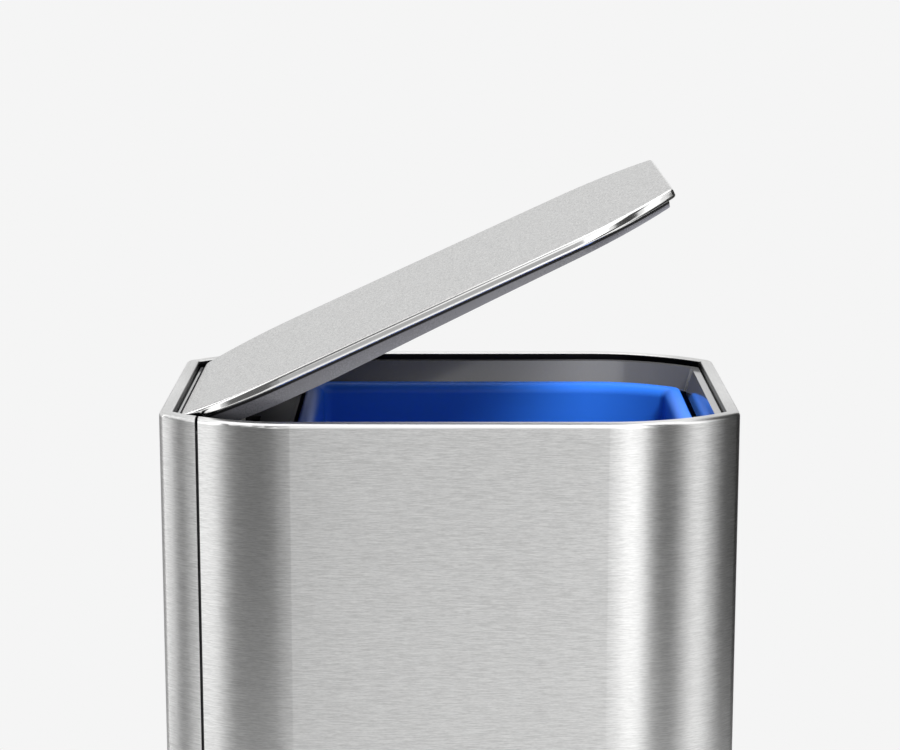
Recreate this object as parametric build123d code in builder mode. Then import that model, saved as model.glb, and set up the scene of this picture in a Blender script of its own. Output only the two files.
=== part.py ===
from build123d import *
import os
from math import cos, radians, sin, sqrt, tan

# Step trash can, slim rectangular body, lengths in millimetres and angles in degrees.
# +X points from the hinge to the pedal, +Z is up, and the origin lies on the floor under the body's middle.
# The can is drawn as the photograph shows it, with its lid standing open by lid_rest_angle.

# Body outline, seen from above: flat long sides that curve in towards straight ends
body_length = 420.0
body_width = 260.0
rim_height = 620.0
end_curve_length = 97.0
end_curve_drop = 38.0
corner_radius = 10.0
inner_corner_radius = 4.5
fit_gap = 0.2

# Steel sheet, rolled rim and the seam between the front shell and the rear cover
sheet = 0.8
rim_width = 10.4
rim_outer_round = 3.2
rim_inner_round = 2.8
rim_lip = 9.0
seam_setback = 29.5
seam_gap = 1.5

# Collar inside the rim
collar_drop = 5.0
collar_groove = 1.2
collar_band = 5.4
collar_wall = 1.8
upstand_wall = 1.0
pocket_start = 84.0
collar_depth = 18.3
collar_lean = 16.5

# Lid, in its closed position
lid_rest_angle = 25.0
lid_full_angle = 82.0
lid_rise = 3.0
lid_skirt = 7.4
lid_round = 2.5
lid_hem_round = 2.4
lid_gap = 3.0
lid_rear_gap = 6.1
lid_corner = 6.0
hem_width = 4.8
rear_hem_width = 2.6
bumper_radius = 1.0
bumper_stem_radius = 0.6
liner_setback = 5.6
liner_wall = 2.0
liner_rear_depth = 12.7
liner_front_depth = 5.3
liner_level_length = 113.0
liner_bow = 0.6
bumper_offset = 50.0

# Hinge and crank
hinge_setback = 28.0
hinge_drop = 3.5
hinge_pin_radius = 2.5
hinge_head_radius = 4.2
hinge_head_height = 1.5
lid_ear_position = 63.5
body_ear_position = 57.5
ear_thickness = 3.0
ear_wall = 2.2
running_gap = 0.05
crank_radius = 24.4
crank_plate_position = 6.5
crank_pin_radius = 3.0
swing_clearance = 1.6
clip_thickness = 1.0
pin_end = 1.0

# Bracket feet under the hinge, and the lid bracket with the pocket it sits in
bracket_sheet = 2.0
bracket_foot_width = 28.0
bracket_foot_front = 25.0
bracket_foot_rear = 9.0
hinge_screw_step = 7.0
lid_pad_length = 56.0
lid_pad_half_width = 78.0
web_margin = 10.0
web_setback = 1.0
crank_notch_half_width = 26.0
crank_notch_length = 37.0
pin_notch_margin = 8.5
pin_notch_length = 24.0
crank_foot_length = 34.0
ear_foot_length = 15.5
outer_screw_x = 30.0
outer_screw_y = 40.0
inner_screw_x = 47.0
inner_screw_y = 22.0

# Push rod and its slotted head
rod_radius = 3.0
yoke_thickness = 8.0
yoke_wall = 3.0
slot_clearance = 0.6
yoke_neck_radius = 5.0
yoke_neck_length = 15.0
foot_length = 24.0
foot_width = 16.0
foot_thickness = 5.0
foot_socket_length = 16.0

# Rod guides and damper
guide_thickness = 10.0
guide_boss_radius = 7.5
guide_flange_width = 48.0
guide_flange_height = 28.0
guide_flange_thickness = 3.0
lower_guide_level = 115.0
upper_guide_drop = 60.0
damper_offset = 34.0
damper_radius = 10.0
damper_wall = 2.0
damper_drop = 23.0
damper_length = 100.0
damper_cap_height = 5.0
damper_rod_radius = 2.5
piston_thickness = 8.0
piston_rise = 40.0
piston_gap = 0.1
link_drop = 37.0
link_thickness = 10.0

# Bucket and mechanism space
bucket_inset = 27.0
bucket_drop = 19.4
bucket_wall = 2.2
bucket_rim_width = 11.0
bucket_lip = 12.0
bucket_rim_round = 3.0
bucket_mouth_round = 7.5
bucket_neck = 32.0
bucket_taper = 1.0
bucket_corner = 9.0
bucket_floor = 3.0
mechanism_length = 96.0
bucket_rear_gap = 4.5
frame_wall = 2.5
rear_deck_drop = 27.0
rear_deck_thickness = 3.0
ledge_width = 4.0

# Base and feet
feet_height = 2.5
feet_radius = 12.0
feet_corner_x = 165.0
feet_corner_y = 80.0
floor_thickness = 3.0
band_height = 13.5
deck_thickness = 3.0
deck_post_radius = 5.0
deck_post_x = 85.0
deck_post_y = 88.0
opening_width = 120.0
opening_top = 45.0
opening_round = 6.0

# Pedal lever, described at the middle of its travel
pedal_ratio = 0.107
pivot_x = 55.0
pivot_height = 28.0
pivot_radius = 4.0
pivot_boss_radius = 10.0
lever_width = 44.0
lever_height = 10.0
lever_sheet = 2.0
lever_dip = 6.0
dip_start = 40.0
dip_length = 35.0
tread_outer_reach = 197.0
tread_depth = 34.0
tread_tongue = 19.0
tread_width = 100.0
tread_sheet = 3.0
tread_corner = 16.0
tread_lip = 6.0
tread_edge_round = 1.4
tread_step = 3.0
pad_thickness = 2.0
pad_margin = 6.0
pad_groove_pitch = 6.0
bush_wall = 2.0
bush_flange = 2.0
bush_flange_length = 5.0
pivot_bracket_length = 32.0
shoe_radius = 4.0
shoe_length = 16.0
shoe_height = 2.0
contact_gap = 0.15

# Fasteners
screw_radius = 2.0
screw_head_radius = 3.8
screw_head_height = 1.5
screw_length = 10.0
cover_screw_offset = 55.0
cover_screw_margin = 70.0
pivot_screw_x = 10.0
pivot_screw_y = 15.0
rivet_setback = 9.0
rivet_offset = 10.0

# Sizes worked out from the ones above
half_length = body_length / 2
half_width = body_width / 2
end_curve_radius = (end_curve_length**2 + end_curve_drop**2) / (2 * end_curve_drop)
flat_half = half_length - end_curve_length
collar_slope = tan(radians(collar_lean))
upstand_inset = rim_width + collar_groove
collar_inset = upstand_inset + collar_band
lid_inset = rim_width + lid_gap
lid_rear_trim = lid_rear_gap - lid_gap
liner_inset = lid_inset + liner_setback
skirt_bottom = lid_rise - lid_skirt
hem_top = skirt_bottom + sheet
liner_rear_level = skirt_bottom - liner_rear_depth
liner_front_level = skirt_bottom - liner_front_depth
flange_top = hem_top + liner_wall
bracket_top = flange_top + bracket_sheet
hinge_x = hinge_setback - half_length
hinge_z = rim_height - hinge_drop
pin_bore = hinge_pin_radius + running_gap
ear_radius = hinge_pin_radius + ear_wall
crank_half_sweep = lid_full_angle / 2
crank_near = crank_radius * cos(radians(crank_half_sweep))
crank_middle = (crank_radius + crank_near) / 2
rod_x = hinge_x + crank_middle
bucket_rear = half_length - mechanism_length
bucket_top = rim_height - bucket_drop
partition_front = -(bucket_rear + bucket_rear_gap)
partition_rear = partition_front - frame_wall
deck_top_rear = rim_height - rear_deck_drop
ledge_level = deck_top_rear - rear_deck_thickness
upper_guide_level = rim_height - upper_guide_drop
link_level = upper_guide_level - link_drop
damper_bottom = link_level - damper_drop - damper_length
piston_level = damper_bottom + piston_rise
tread_rear = tread_outer_reach - tread_depth
lever_reach = tread_rear - tread_step
tread_inner_reach = lever_reach - tread_tongue
tail_reach = pivot_x - rod_x
pedal_half_swing = lid_full_angle * pedal_ratio / 2
pedal_rest_angle = lid_rest_angle * pedal_ratio - pedal_half_swing
rod_per_radian = tail_reach * pedal_ratio
slot_center_z = hinge_z + rod_per_radian * radians(lid_rest_angle - crank_half_sweep)
shoe_center = lever_height / 2 + lever_sheet + shoe_height
shoe_turn = radians(pedal_rest_angle)
shoe_top = pivot_height + tail_reach * sin(shoe_turn) + shoe_center * cos(shoe_turn) + shoe_radius
foot_bottom = shoe_top + contact_gap
floor_top = feet_height + floor_thickness
shell_bottom = feet_height + band_height
lever_rise = (pivot_x - partition_front) * sin(radians(pedal_half_swing))
deck_bottom = pivot_height + lever_rise + lever_height / 2 + swing_clearance
deck_top = deck_bottom + deck_thickness
screw_bore = screw_radius + running_gap

# Directions of the raised lid and of the pressed lever
lid_forward = (cos(radians(lid_rest_angle)), 0, sin(radians(lid_rest_angle)))
lid_up = (-sin(radians(lid_rest_angle)), 0, cos(radians(lid_rest_angle)))
lever_forward = (cos(radians(pedal_rest_angle)), 0, -sin(radians(pedal_rest_angle)))
lever_up = (sin(radians(pedal_rest_angle)), 0, cos(radians(pedal_rest_angle)))
across = (0, -1, 0)

hinge_plane = Plane(origin=(hinge_x, 0, hinge_z), x_dir=lid_forward, z_dir=lid_up)
# On this plane a point has the X and Y that it has under a closed lid, and heights are counted from the rim.
lid_plane = Plane(
    origin=hinge_plane.from_local_coords((-hinge_x, 0, hinge_drop)), x_dir=lid_forward, z_dir=lid_up
)
lever_plane = Plane(origin=(pivot_x, 0, pivot_height), x_dir=lever_forward, z_dir=lever_up)


def lid_side(y):
    """Plane of the lid's side view at y, with its origin on the hinge axis."""
    return Plane(origin=(hinge_x, y, hinge_z), x_dir=lid_forward, z_dir=across)


def lever_side(y):
    """Plane of the lever's side view at y, with its origin on the pivot axis."""
    return Plane(origin=(pivot_x, y, pivot_height), x_dir=lever_forward, z_dir=across)


def body_side(y):
    """Plane of the body's side view at y."""
    return Plane(origin=(0, y, 0), x_dir=(1, 0, 0), z_dir=across)


def end_half_width(x, inset):
    """Half width of the inset outline at a distance x from the body's middle."""
    past_flat = max(x - flat_half, 0)
    return half_width - end_curve_radius + sqrt((end_curve_radius - inset) ** 2 - past_flat**2)


def plan_outline(inset, corner, rear_trim=0.0, square_rear=False):
    """The body's outline seen from above, moved in by inset and cut short by rear_trim at the hinge end."""
    front = half_length - inset
    rear = front - rear_trim
    side = half_width - inset
    radius = end_curve_radius - inset
    front_side = end_half_width(front, inset)
    rear_side = side if square_rear else end_half_width(rear, inset)
    flat_rear = rear if square_rear else flat_half
    with BuildSketch(mode=Mode.PRIVATE) as outline:
        with BuildLine():
            Line((-flat_rear, side), (flat_half, side))
            RadiusArc((flat_half, side), (front, front_side), radius)
            Line((front, front_side), (front, -front_side))
            RadiusArc((front, -front_side), (flat_half, -side), radius)
            Line((flat_half, -side), (-flat_rear, -side))
            if not square_rear:
                RadiusArc((-flat_rear, -side), (-rear, -rear_side), radius)
            Line((-rear, -rear_side), (-rear, rear_side))
            if not square_rear:
                RadiusArc((-rear, rear_side), (-flat_rear, side), radius)
        make_face()
        ends = outline.vertices().group_by(Axis.X)
        fillet(ends[0] + ends[-1], corner)
    return outline.sketch


def plan_prism(base, bottom, top, outline, mode=Mode.ADD):
    """Add a plan outline extruded between two levels above a base plane."""
    with BuildSketch(base.offset(bottom), mode=Mode.PRIVATE) as section:
        add(outline)
    extrude(section.sketch, amount=top - bottom, mode=mode)


def plan_loft(base, bottom, top, lower, upper, mode=Mode.ADD):
    """Add a straight-sided loft between two plan outlines at two levels above a base plane."""
    with BuildSketch(base.offset(bottom), mode=Mode.PRIVATE) as lower_section:
        add(lower)
    with BuildSketch(base.offset(top), mode=Mode.PRIVATE) as upper_section:
        add(upper)
    loft(sections=[lower_section.sketch, upper_section.sketch], ruled=True, mode=mode)


def block(x_span, y_span, z_span, mode=Mode.ADD):
    """Add a block given by its spans along X, Y and Z."""
    spans = (x_span, y_span, z_span)
    with Locations(tuple((low + high) / 2 for low, high in spans)):
        Box(*(high - low for low, high in spans), mode=mode)


def cut_ahead(x):
    """Cut away everything ahead of x."""
    block((x, body_length), (-body_width, body_width), (0, 2 * rim_height), Mode.SUBTRACT)


def cut_behind(x):
    """Cut away everything behind x."""
    block((-body_length, x), (-body_width, body_width), (0, 2 * rim_height), Mode.SUBTRACT)


def lid_block(x_span, y_span, z_span, mode=Mode.ADD):
    """Add a block given by its spans in the closed lid's coordinates, with heights from the rim."""
    with BuildSketch(lid_plane.offset(z_span[0]), mode=Mode.PRIVATE) as section:
        with Locations((sum(x_span) / 2, sum(y_span) / 2)):
            Rectangle(x_span[1] - x_span[0], y_span[1] - y_span[0])
    extrude(section.sketch, amount=z_span[1] - z_span[0], mode=mode)


def disc(base, points, radius, length, mode=Mode.ADD):
    """Add a round bar of a given length at each point of a base plane."""
    with BuildSketch(base, mode=Mode.PRIVATE) as section:
        with Locations(*points):
            Circle(radius)
    extrude(section.sketch, amount=length, mode=mode)


def cross_bar(side_view, y_low, y_high, points, radius, mode=Mode.ADD):
    """Add round bars lying across the can between two values of y."""
    disc(side_view(y_high), points, radius, y_high - y_low, mode)


def save(piece, name):
    """Label one finished piece and write its file."""
    piece.part.label = name
    export_step(piece.part, f"parts/{name}.step")


os.makedirs("parts", exist_ok=True)
body_plane = Plane.XY

# Steel body: one rolled-rim profile, parted at the seam into the front shell and the rear cover

with BuildPart(mode=Mode.PRIVATE) as rim_hollow:
    plan_prism(
        body_plane, shell_bottom, rim_height - sheet, plan_outline(sheet, corner_radius - sheet)
    )
    fillet(rim_hollow.faces().sort_by(Axis.Z)[-1].edges(), rim_outer_round - sheet)
    plan_prism(
        body_plane,
        rim_height - rim_lip,
        rim_height,
        plan_outline(rim_width - sheet, inner_corner_radius + sheet),
        mode=Mode.SUBTRACT,
    )
    fillet(rim_hollow.faces().sort_by(Axis.Z)[-1].inner_wires()[0].edges(), rim_inner_round - sheet)

with BuildPart(mode=Mode.PRIVATE) as steel_body:
    plan_prism(body_plane, shell_bottom, rim_height, plan_outline(0, corner_radius))
    fillet(steel_body.faces().sort_by(Axis.Z)[-1].edges(), rim_outer_round)
    plan_prism(
        body_plane,
        shell_bottom,
        rim_height,
        plan_outline(rim_width, inner_corner_radius),
        mode=Mode.SUBTRACT,
    )
    fillet(steel_body.faces().sort_by(Axis.Z)[-1].inner_wires()[0].edges(), rim_inner_round)
    add(rim_hollow.part, mode=Mode.SUBTRACT)

seam_front = seam_setback + seam_gap / 2 - half_length
seam_rear = seam_front - seam_gap

with BuildPart() as front_shell:
    add(steel_body.part)
    cut_behind(seam_front)
    with BuildSketch(Plane.YZ.offset(half_length - rim_width), mode=Mode.PRIVATE) as pedal_cutout:
        with Locations((0, opening_top / 2)):
            Rectangle(opening_width, opening_top)
        fillet(pedal_cutout.vertices().group_by(Axis.Y)[-1], opening_round)
    extrude(pedal_cutout.sketch, amount=2 * rim_width, mode=Mode.SUBTRACT)

cover_screw_levels = (shell_bottom + cover_screw_margin, rim_height - cover_screw_margin)
cover_screw_points = [(y, z) for y in (-cover_screw_offset, cover_screw_offset) for z in cover_screw_levels]

with BuildPart() as rear_cover:
    add(steel_body.part)
    cut_ahead(seam_rear)
    disc(Plane.YZ.offset(-half_length - 1), cover_screw_points, screw_bore, 2 + sheet, Mode.SUBTRACT)

save(front_shell, "front_shell")
save(rear_cover, "rear_cover")

# Space behind the hinge that the raised lid's rear edge swings through

lid_rear_x = lid_rear_trim + lid_inset - half_length
rear_edge_swing = sqrt((hinge_x - lid_rear_x) ** 2 + (lid_rise + hinge_drop) ** 2)

trough_radius = rear_edge_swing + swing_clearance

with BuildPart(mode=Mode.PRIVATE) as hinge_trough:
    cross_bar(body_side, -half_width, half_width, [(hinge_x, hinge_z)], trough_radius)
    plan_prism(
        body_plane,
        hinge_z - trough_radius,
        rim_height,
        plan_outline(upstand_inset + upstand_wall, inner_corner_radius),
        mode=Mode.INTERSECT,
    )

with BuildPart(mode=Mode.PRIVATE) as corner_pockets:
    cross_bar(body_side, -half_width, -pocket_start, [(hinge_x, hinge_z)], trough_radius)
    cross_bar(body_side, pocket_start, half_width, [(hinge_x, hinge_z)], trough_radius)
    plan_prism(
        body_plane,
        hinge_z - trough_radius,
        rim_height,
        plan_outline(rim_width + fit_gap, inner_corner_radius),
        mode=Mode.INTERSECT,
    )

# Collar

collar_top = rim_height - collar_drop
collar_bottom = collar_top - collar_depth
seat_top = rim_height - rim_lip - fit_gap
seat_bottom = seat_top - collar_wall


def collar_face(level, wall):
    """Outline of the collar's leaning wall at a level, moved out by wall."""
    return plan_outline(collar_inset - wall + collar_slope * (collar_top - level), inner_corner_radius)


with BuildPart() as collar:
    plan_prism(body_plane, seat_bottom, seat_top, plan_outline(sheet + fit_gap, corner_radius - sheet))
    plan_prism(body_plane, seat_bottom, collar_top, plan_outline(upstand_inset, inner_corner_radius))
    plan_prism(
        body_plane,
        seat_bottom,
        collar_top - collar_wall,
        plan_outline(upstand_inset + collar_wall, inner_corner_radius),
        mode=Mode.SUBTRACT,
    )
    plan_loft(
        body_plane,
        collar_bottom,
        collar_top,
        collar_face(collar_bottom, collar_wall),
        collar_face(collar_top, collar_wall),
    )
    plan_loft(
        body_plane,
        collar_bottom - 1,
        collar_top + 1,
        collar_face(collar_bottom - 1, 0),
        collar_face(collar_top + 1, 0),
        mode=Mode.SUBTRACT,
    )
    add(hinge_trough.part, mode=Mode.SUBTRACT)
    add(corner_pockets.part, mode=Mode.SUBTRACT)

save(collar, "collar")

# Base tray

base_inner = sheet + fit_gap + frame_wall
base_points = [(x * feet_corner_x, y * feet_corner_y) for x in (-1, 1) for y in (-1, 1)] + [(0, 0)]
deck_points = [(deck_post_x + x * deck_post_x, y * deck_post_y) for x in (-1, 1) for y in (-1, 1)]
pivot_points = [(pivot_x + x * pivot_screw_x, y * pivot_screw_y) for x in (-1, 1) for y in (-1, 1)]
bay_wall_rear = half_length - end_curve_length / 2

with BuildPart() as base_tray:
    plan_prism(body_plane, feet_height, shell_bottom - fit_gap, plan_outline(0, corner_radius))
    plan_prism(
        body_plane,
        shell_bottom - fit_gap,
        deck_bottom,
        plan_outline(sheet + fit_gap, corner_radius - sheet),
    )
    plan_prism(
        body_plane,
        floor_top,
        deck_bottom,
        plan_outline(base_inner, inner_corner_radius),
        mode=Mode.SUBTRACT,
    )
    for side in (-1, 1):
        wall_middle = side * (opening_width + frame_wall) / 2
        block(
            (bay_wall_rear, half_length - sheet - frame_wall),
            (wall_middle - frame_wall / 2, wall_middle + frame_wall / 2),
            (feet_height, opening_top),
        )
    block(
        (half_length - 2 * rim_width, half_length + 1),
        (-opening_width / 2, opening_width / 2),
        (floor_top, opening_top),
        Mode.SUBTRACT,
    )
    disc(Plane.XY, deck_points, screw_bore, rim_height / 2, Mode.SUBTRACT)
    disc(
        Plane.XY, deck_points, screw_head_radius + fit_gap, feet_height + screw_head_height, Mode.SUBTRACT
    )
    disc(Plane.XY, pivot_points, screw_bore, rim_height / 2, Mode.SUBTRACT)

save(base_tray, "base_tray")

with BuildPart() as feet:
    disc(Plane.XY, base_points, feet_radius, feet_height)
    fillet(feet.edges().group_by(Axis.Z)[0], feet_height / 4)

save(feet, "feet")

# Platform that carries the bucket over the pedal lever

with BuildPart() as bucket_deck:
    plan_prism(body_plane, deck_bottom, deck_top, plan_outline(sheet + fit_gap, corner_radius - sheet))
    cut_behind(partition_front)
    disc(Plane.XY.offset(floor_top), deck_points, deck_post_radius, deck_bottom - floor_top)
    disc(Plane.XY.offset(floor_top), deck_points, screw_bore, screw_length, Mode.SUBTRACT)

with BuildPart() as deck_screws:
    disc(Plane.XY.offset(feet_height), deck_points, screw_head_radius, screw_head_height)
    disc(Plane.XY.offset(feet_height), deck_points, screw_radius, floor_thickness + screw_length - 1)

save(bucket_deck, "bucket_deck")
save(deck_screws, "deck_screws")

# Column behind the bucket: it backs the seam and carries the mechanism

damper_clamp_level = damper_bottom + damper_length / 3
guide_hole_y = guide_flange_width / 2 - screw_head_radius - 1
arm_places = [(0, lower_guide_level), (0, upper_guide_level), (damper_offset, damper_clamp_level)]
partition_holes = [(y + step, level) for y, level in arm_places for step in (-guide_hole_y, guide_hole_y)]

with BuildPart() as column:
    plan_prism(
        body_plane, deck_bottom, seat_bottom, plan_outline(sheet + fit_gap, corner_radius - sheet)
    )
    cut_ahead(partition_front)
    with BuildPart(mode=Mode.PRIVATE) as frame_inside:
        plan_prism(
            body_plane, deck_bottom - 1, rim_height, plan_outline(base_inner, inner_corner_radius)
        )
        cut_ahead(partition_rear)
    with BuildPart(mode=Mode.PRIVATE) as ledge:
        plan_prism(
            body_plane,
            ledge_level - ledge_width,
            ledge_level,
            plan_outline(base_inner, inner_corner_radius),
        )
        plan_prism(
            body_plane,
            ledge_level - ledge_width,
            ledge_level,
            plan_outline(base_inner + ledge_width, inner_corner_radius),
            mode=Mode.SUBTRACT,
        )
        cut_ahead(partition_rear)
    add(frame_inside.part, mode=Mode.SUBTRACT)
    add(ledge.part)
    block(
        (partition_rear - 1, partition_front + 1),
        (-half_width + base_inner, half_width - base_inner),
        (deck_top_rear, rim_height + 1),
        Mode.SUBTRACT,
    )
    disc(Plane.YZ.offset(partition_rear - 1), partition_holes, screw_bore, frame_wall + 2, Mode.SUBTRACT)
    disc(Plane.YZ.offset(-half_length), cover_screw_points, screw_bore, 2 * base_inner, Mode.SUBTRACT)

# The column is two mouldings, a frame and the panel behind it that takes the rear cover's screws

panel_front = -half_length + screw_length + 1

with BuildPart() as rear_frame:
    add(column.part)
    cut_behind(panel_front + fit_gap)

save(rear_frame, "rear_frame")

with BuildPart() as rear_panel:
    add(column.part)
    cut_ahead(panel_front)

save(rear_panel, "rear_panel")

with BuildPart() as cover_screws:
    disc(Plane.YZ.offset(-half_length), cover_screw_points, screw_head_radius, -screw_head_height)
    disc(Plane.YZ.offset(-half_length - 0.1), cover_screw_points, screw_radius, screw_length)
    fillet(cover_screws.edges().group_by(Axis.X)[0], screw_head_height / 2)

save(cover_screws, "cover_screws")

# Plate over the mechanism, under the hinge

yoke_half_length = (crank_radius - crank_near) / 2 + crank_pin_radius + slot_clearance + yoke_wall
crank_plate_outer = crank_plate_position + ear_thickness / 2
rod_slot_half_width = crank_plate_outer + 2 * swing_clearance
rod_slot_front = rod_x + yoke_half_length + 4 * swing_clearance
rod_slot_rear = rod_x - yoke_half_length - 2 * swing_clearance
foot_middle_x = hinge_x + (bracket_foot_front + bracket_foot_rear) / 2
foot_middle_y = body_ear_position - bracket_foot_width / 2
hinge_screw_points = [
    (foot_middle_x, side * foot_middle_y + step)
    for side in (-1, 1)
    for step in (-hinge_screw_step, hinge_screw_step)
]

with BuildPart() as rear_deck:
    plan_prism(
        body_plane,
        ledge_level,
        deck_top_rear,
        plan_outline(base_inner + fit_gap, inner_corner_radius),
    )
    cut_ahead(partition_rear - fit_gap)
    block(
        (rod_slot_rear, rod_slot_front),
        (-rod_slot_half_width, rod_slot_half_width),
        (ledge_level - 1, rim_height),
        Mode.SUBTRACT,
    )
    disc(Plane.XY.offset(deck_top_rear), hinge_screw_points, screw_bore, -rear_deck_thickness, Mode.SUBTRACT)

save(rear_deck, "rear_deck")

# Hinge: brackets on the deck, pin, clip

with BuildPart() as hinge_brackets:
    for side in (-1, 1):
        ear_middle = side * body_ear_position
        with BuildSketch(body_side(ear_middle + ear_thickness / 2), mode=Mode.PRIVATE) as ear:
            with Locations((hinge_x, hinge_z)):
                Circle(ear_radius)
            with Locations((foot_middle_x, deck_top_rear + bracket_sheet / 2)):
                Rectangle(bracket_foot_front - bracket_foot_rear, bracket_sheet)
            make_hull()
        extrude(ear.sketch, amount=ear_thickness)
        foot_span = sorted(
            (ear_middle + side * ear_thickness / 2, ear_middle - side * bracket_foot_width)
        )
        block(
            (hinge_x + bracket_foot_rear, hinge_x + bracket_foot_front),
            foot_span,
            (deck_top_rear, deck_top_rear + bracket_sheet),
        )
    cross_bar(body_side, -half_width, half_width, [(hinge_x, hinge_z)], pin_bore, Mode.SUBTRACT)
    disc(Plane.XY.offset(deck_top_rear), hinge_screw_points, screw_bore, bracket_sheet + 1, Mode.SUBTRACT)

pin_half_length = lid_ear_position + ear_thickness / 2 + fit_gap

hinge_point = (hinge_x, hinge_z)
clip_end = pin_half_length + clip_thickness

with BuildPart() as hinge_pin:
    cross_bar(body_side, -pin_half_length, clip_end + pin_end, [hinge_point], hinge_pin_radius)
    head_start = -pin_half_length - hinge_head_height
    cross_bar(body_side, head_start, -pin_half_length, [hinge_point], hinge_head_radius)

with BuildPart() as hinge_clip:
    cross_bar(body_side, pin_half_length, clip_end, [hinge_point], hinge_head_radius)
    cross_bar(body_side, pin_half_length, clip_end, [hinge_point], pin_bore, Mode.SUBTRACT)

with BuildPart() as hinge_screws:
    head_plane = Plane.XY.offset(deck_top_rear + bracket_sheet)
    disc(head_plane, hinge_screw_points, screw_head_radius, screw_head_height)
    disc(head_plane, hinge_screw_points, screw_radius, -screw_length)

save(hinge_brackets, "hinge_brackets")
save(hinge_pin, "hinge_pin")
save(hinge_clip, "hinge_clip")
save(hinge_screws, "hinge_screws")

# Lid skin: drawn steel plate with a skirt and a turned-in hem, with rubber stops under the hem

bumper_x = half_length - lid_inset - (lid_hem_round + hem_width) / 2
bumper_points = [(bumper_x, y) for y in (-bumper_offset, bumper_offset)]
bumper_height = collar_drop + skirt_bottom - fit_gap

with BuildPart() as lid_skin:
    plan_prism(lid_plane, skirt_bottom, lid_rise, plan_outline(lid_inset, lid_corner, lid_rear_trim))
    top_face = lid_skin.faces().sort_by(Axis(lid_plane.origin, lid_up))[-1]
    fillet(top_face.edges(), lid_round)
    bottom_face = lid_skin.faces().sort_by(Axis(lid_plane.origin, lid_up))[0]
    fillet(bottom_face.edges(), lid_hem_round)
    with BuildPart(mode=Mode.PRIVATE) as lid_hollow:
        plan_prism(
            lid_plane,
            hem_top,
            lid_rise - sheet,
            plan_outline(lid_inset + sheet, lid_corner - sheet, lid_rear_trim),
        )
        hollow_top = lid_hollow.faces().sort_by(Axis(lid_plane.origin, lid_up))[-1]
        fillet(hollow_top.edges(), lid_round - sheet)
        hollow_bottom = lid_hollow.faces().sort_by(Axis(lid_plane.origin, lid_up))[0]
        fillet(hollow_bottom.edges(), lid_hem_round - sheet)
    add(lid_hollow.part, mode=Mode.SUBTRACT)
    plan_prism(
        lid_plane,
        skirt_bottom - 1,
        hem_top + 1,
        plan_outline(lid_inset + hem_width, lid_corner - sheet, lid_rear_trim + rear_hem_width - hem_width),
        mode=Mode.SUBTRACT,
    )
    disc(lid_plane.offset(skirt_bottom), bumper_points, bumper_stem_radius, sheet, Mode.SUBTRACT)

with BuildPart() as lid_bumpers:
    disc(lid_plane.offset(skirt_bottom), bumper_points, bumper_radius, -bumper_height)
    disc(lid_plane.offset(skirt_bottom), bumper_points, bumper_stem_radius, sheet)

save(lid_skin, "lid_skin")
save(lid_bumpers, "lid_bumpers")

# Lid liner: plastic tray, deep at the hinge end and shallow at the opening edge

liner_front_x = half_length - liner_inset
liner_level_x = liner_level_length - half_length + liner_inset
pad_front = hinge_x + lid_pad_length
pin_notch_half_width = lid_ear_position + pin_notch_margin
notch_rear = lid_rear_x - 1


def liner_solid(wall):
    """The liner's outer solid moved in by wall on its sides and its floor."""
    lower_level = liner_rear_level - 1
    upper_level = flange_top + (1 if wall else 0)

    def outline(level):
        inset = liner_inset + wall + collar_slope * (skirt_bottom - level)
        return plan_outline(inset, inner_corner_radius, lid_rear_trim)

    with BuildPart(mode=Mode.PRIVATE) as solid:
        plan_loft(lid_plane, lower_level, upper_level, outline(lower_level), outline(upper_level))
        with BuildSketch(lid_side(half_width), mode=Mode.PRIVATE) as under_floor:
            level_point = (liner_level_x - hinge_x, liner_rear_level + wall + hinge_drop)
            front_point = (liner_front_x - hinge_x, liner_front_level + wall + hinge_drop)
            with BuildLine():
                Polyline(
                    (front_point[0] + 1, front_point[1]),
                    (front_point[0] + 1, level_point[1] - rim_width),
                    (notch_rear - hinge_x, level_point[1] - rim_width),
                    (notch_rear - hinge_x, level_point[1]),
                    level_point,
                )
                SagittaArc(level_point, front_point, liner_bow)
                Line(front_point, (front_point[0] + 1, front_point[1]))
            make_face()
        extrude(under_floor.sketch, amount=body_width, mode=Mode.SUBTRACT)
    return solid.part


bracket_screw_points = [(hinge_x + outer_screw_x, y) for y in (-outer_screw_y, outer_screw_y)]
bracket_screw_points += [(hinge_x + inner_screw_x, y) for y in (-inner_screw_y, inner_screw_y)]

with BuildPart() as lid_liner:
    add(liner_solid(0))
    plan_prism(
        lid_plane,
        hem_top,
        flange_top,
        plan_outline(lid_inset + lid_hem_round + fit_gap, inner_corner_radius, lid_rear_trim),
    )
    add(liner_solid(liner_wall), mode=Mode.SUBTRACT)
    lid_block((hinge_x, pad_front), (-lid_pad_half_width, lid_pad_half_width), (liner_rear_level, flange_top))
    lid_block(
        (notch_rear, hinge_x + crank_notch_length),
        (-crank_notch_half_width, crank_notch_half_width),
        (liner_rear_level - rim_width, flange_top + 1),
        Mode.SUBTRACT,
    )
    lid_block(
        (notch_rear, hinge_x + pin_notch_length),
        (-pin_notch_half_width, pin_notch_half_width),
        (liner_rear_level - rim_width, flange_top + 1),
        Mode.SUBTRACT,
    )
    disc(lid_plane.offset(flange_top), bracket_screw_points, screw_bore, -screw_length, Mode.SUBTRACT)

save(lid_liner, "lid_liner")

# Lid bracket: web under the skin, hinge ears and the two crank plates

crank_point = (crank_near, -crank_radius * sin(radians(crank_half_sweep)))
web_level = flange_top + hinge_drop
web_rear = ear_radius + swing_clearance
web_half_width = lid_pad_half_width - web_margin
crank_foot = (web_rear, crank_foot_length)
ear_foot = (web_rear, ear_foot_length)


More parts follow.
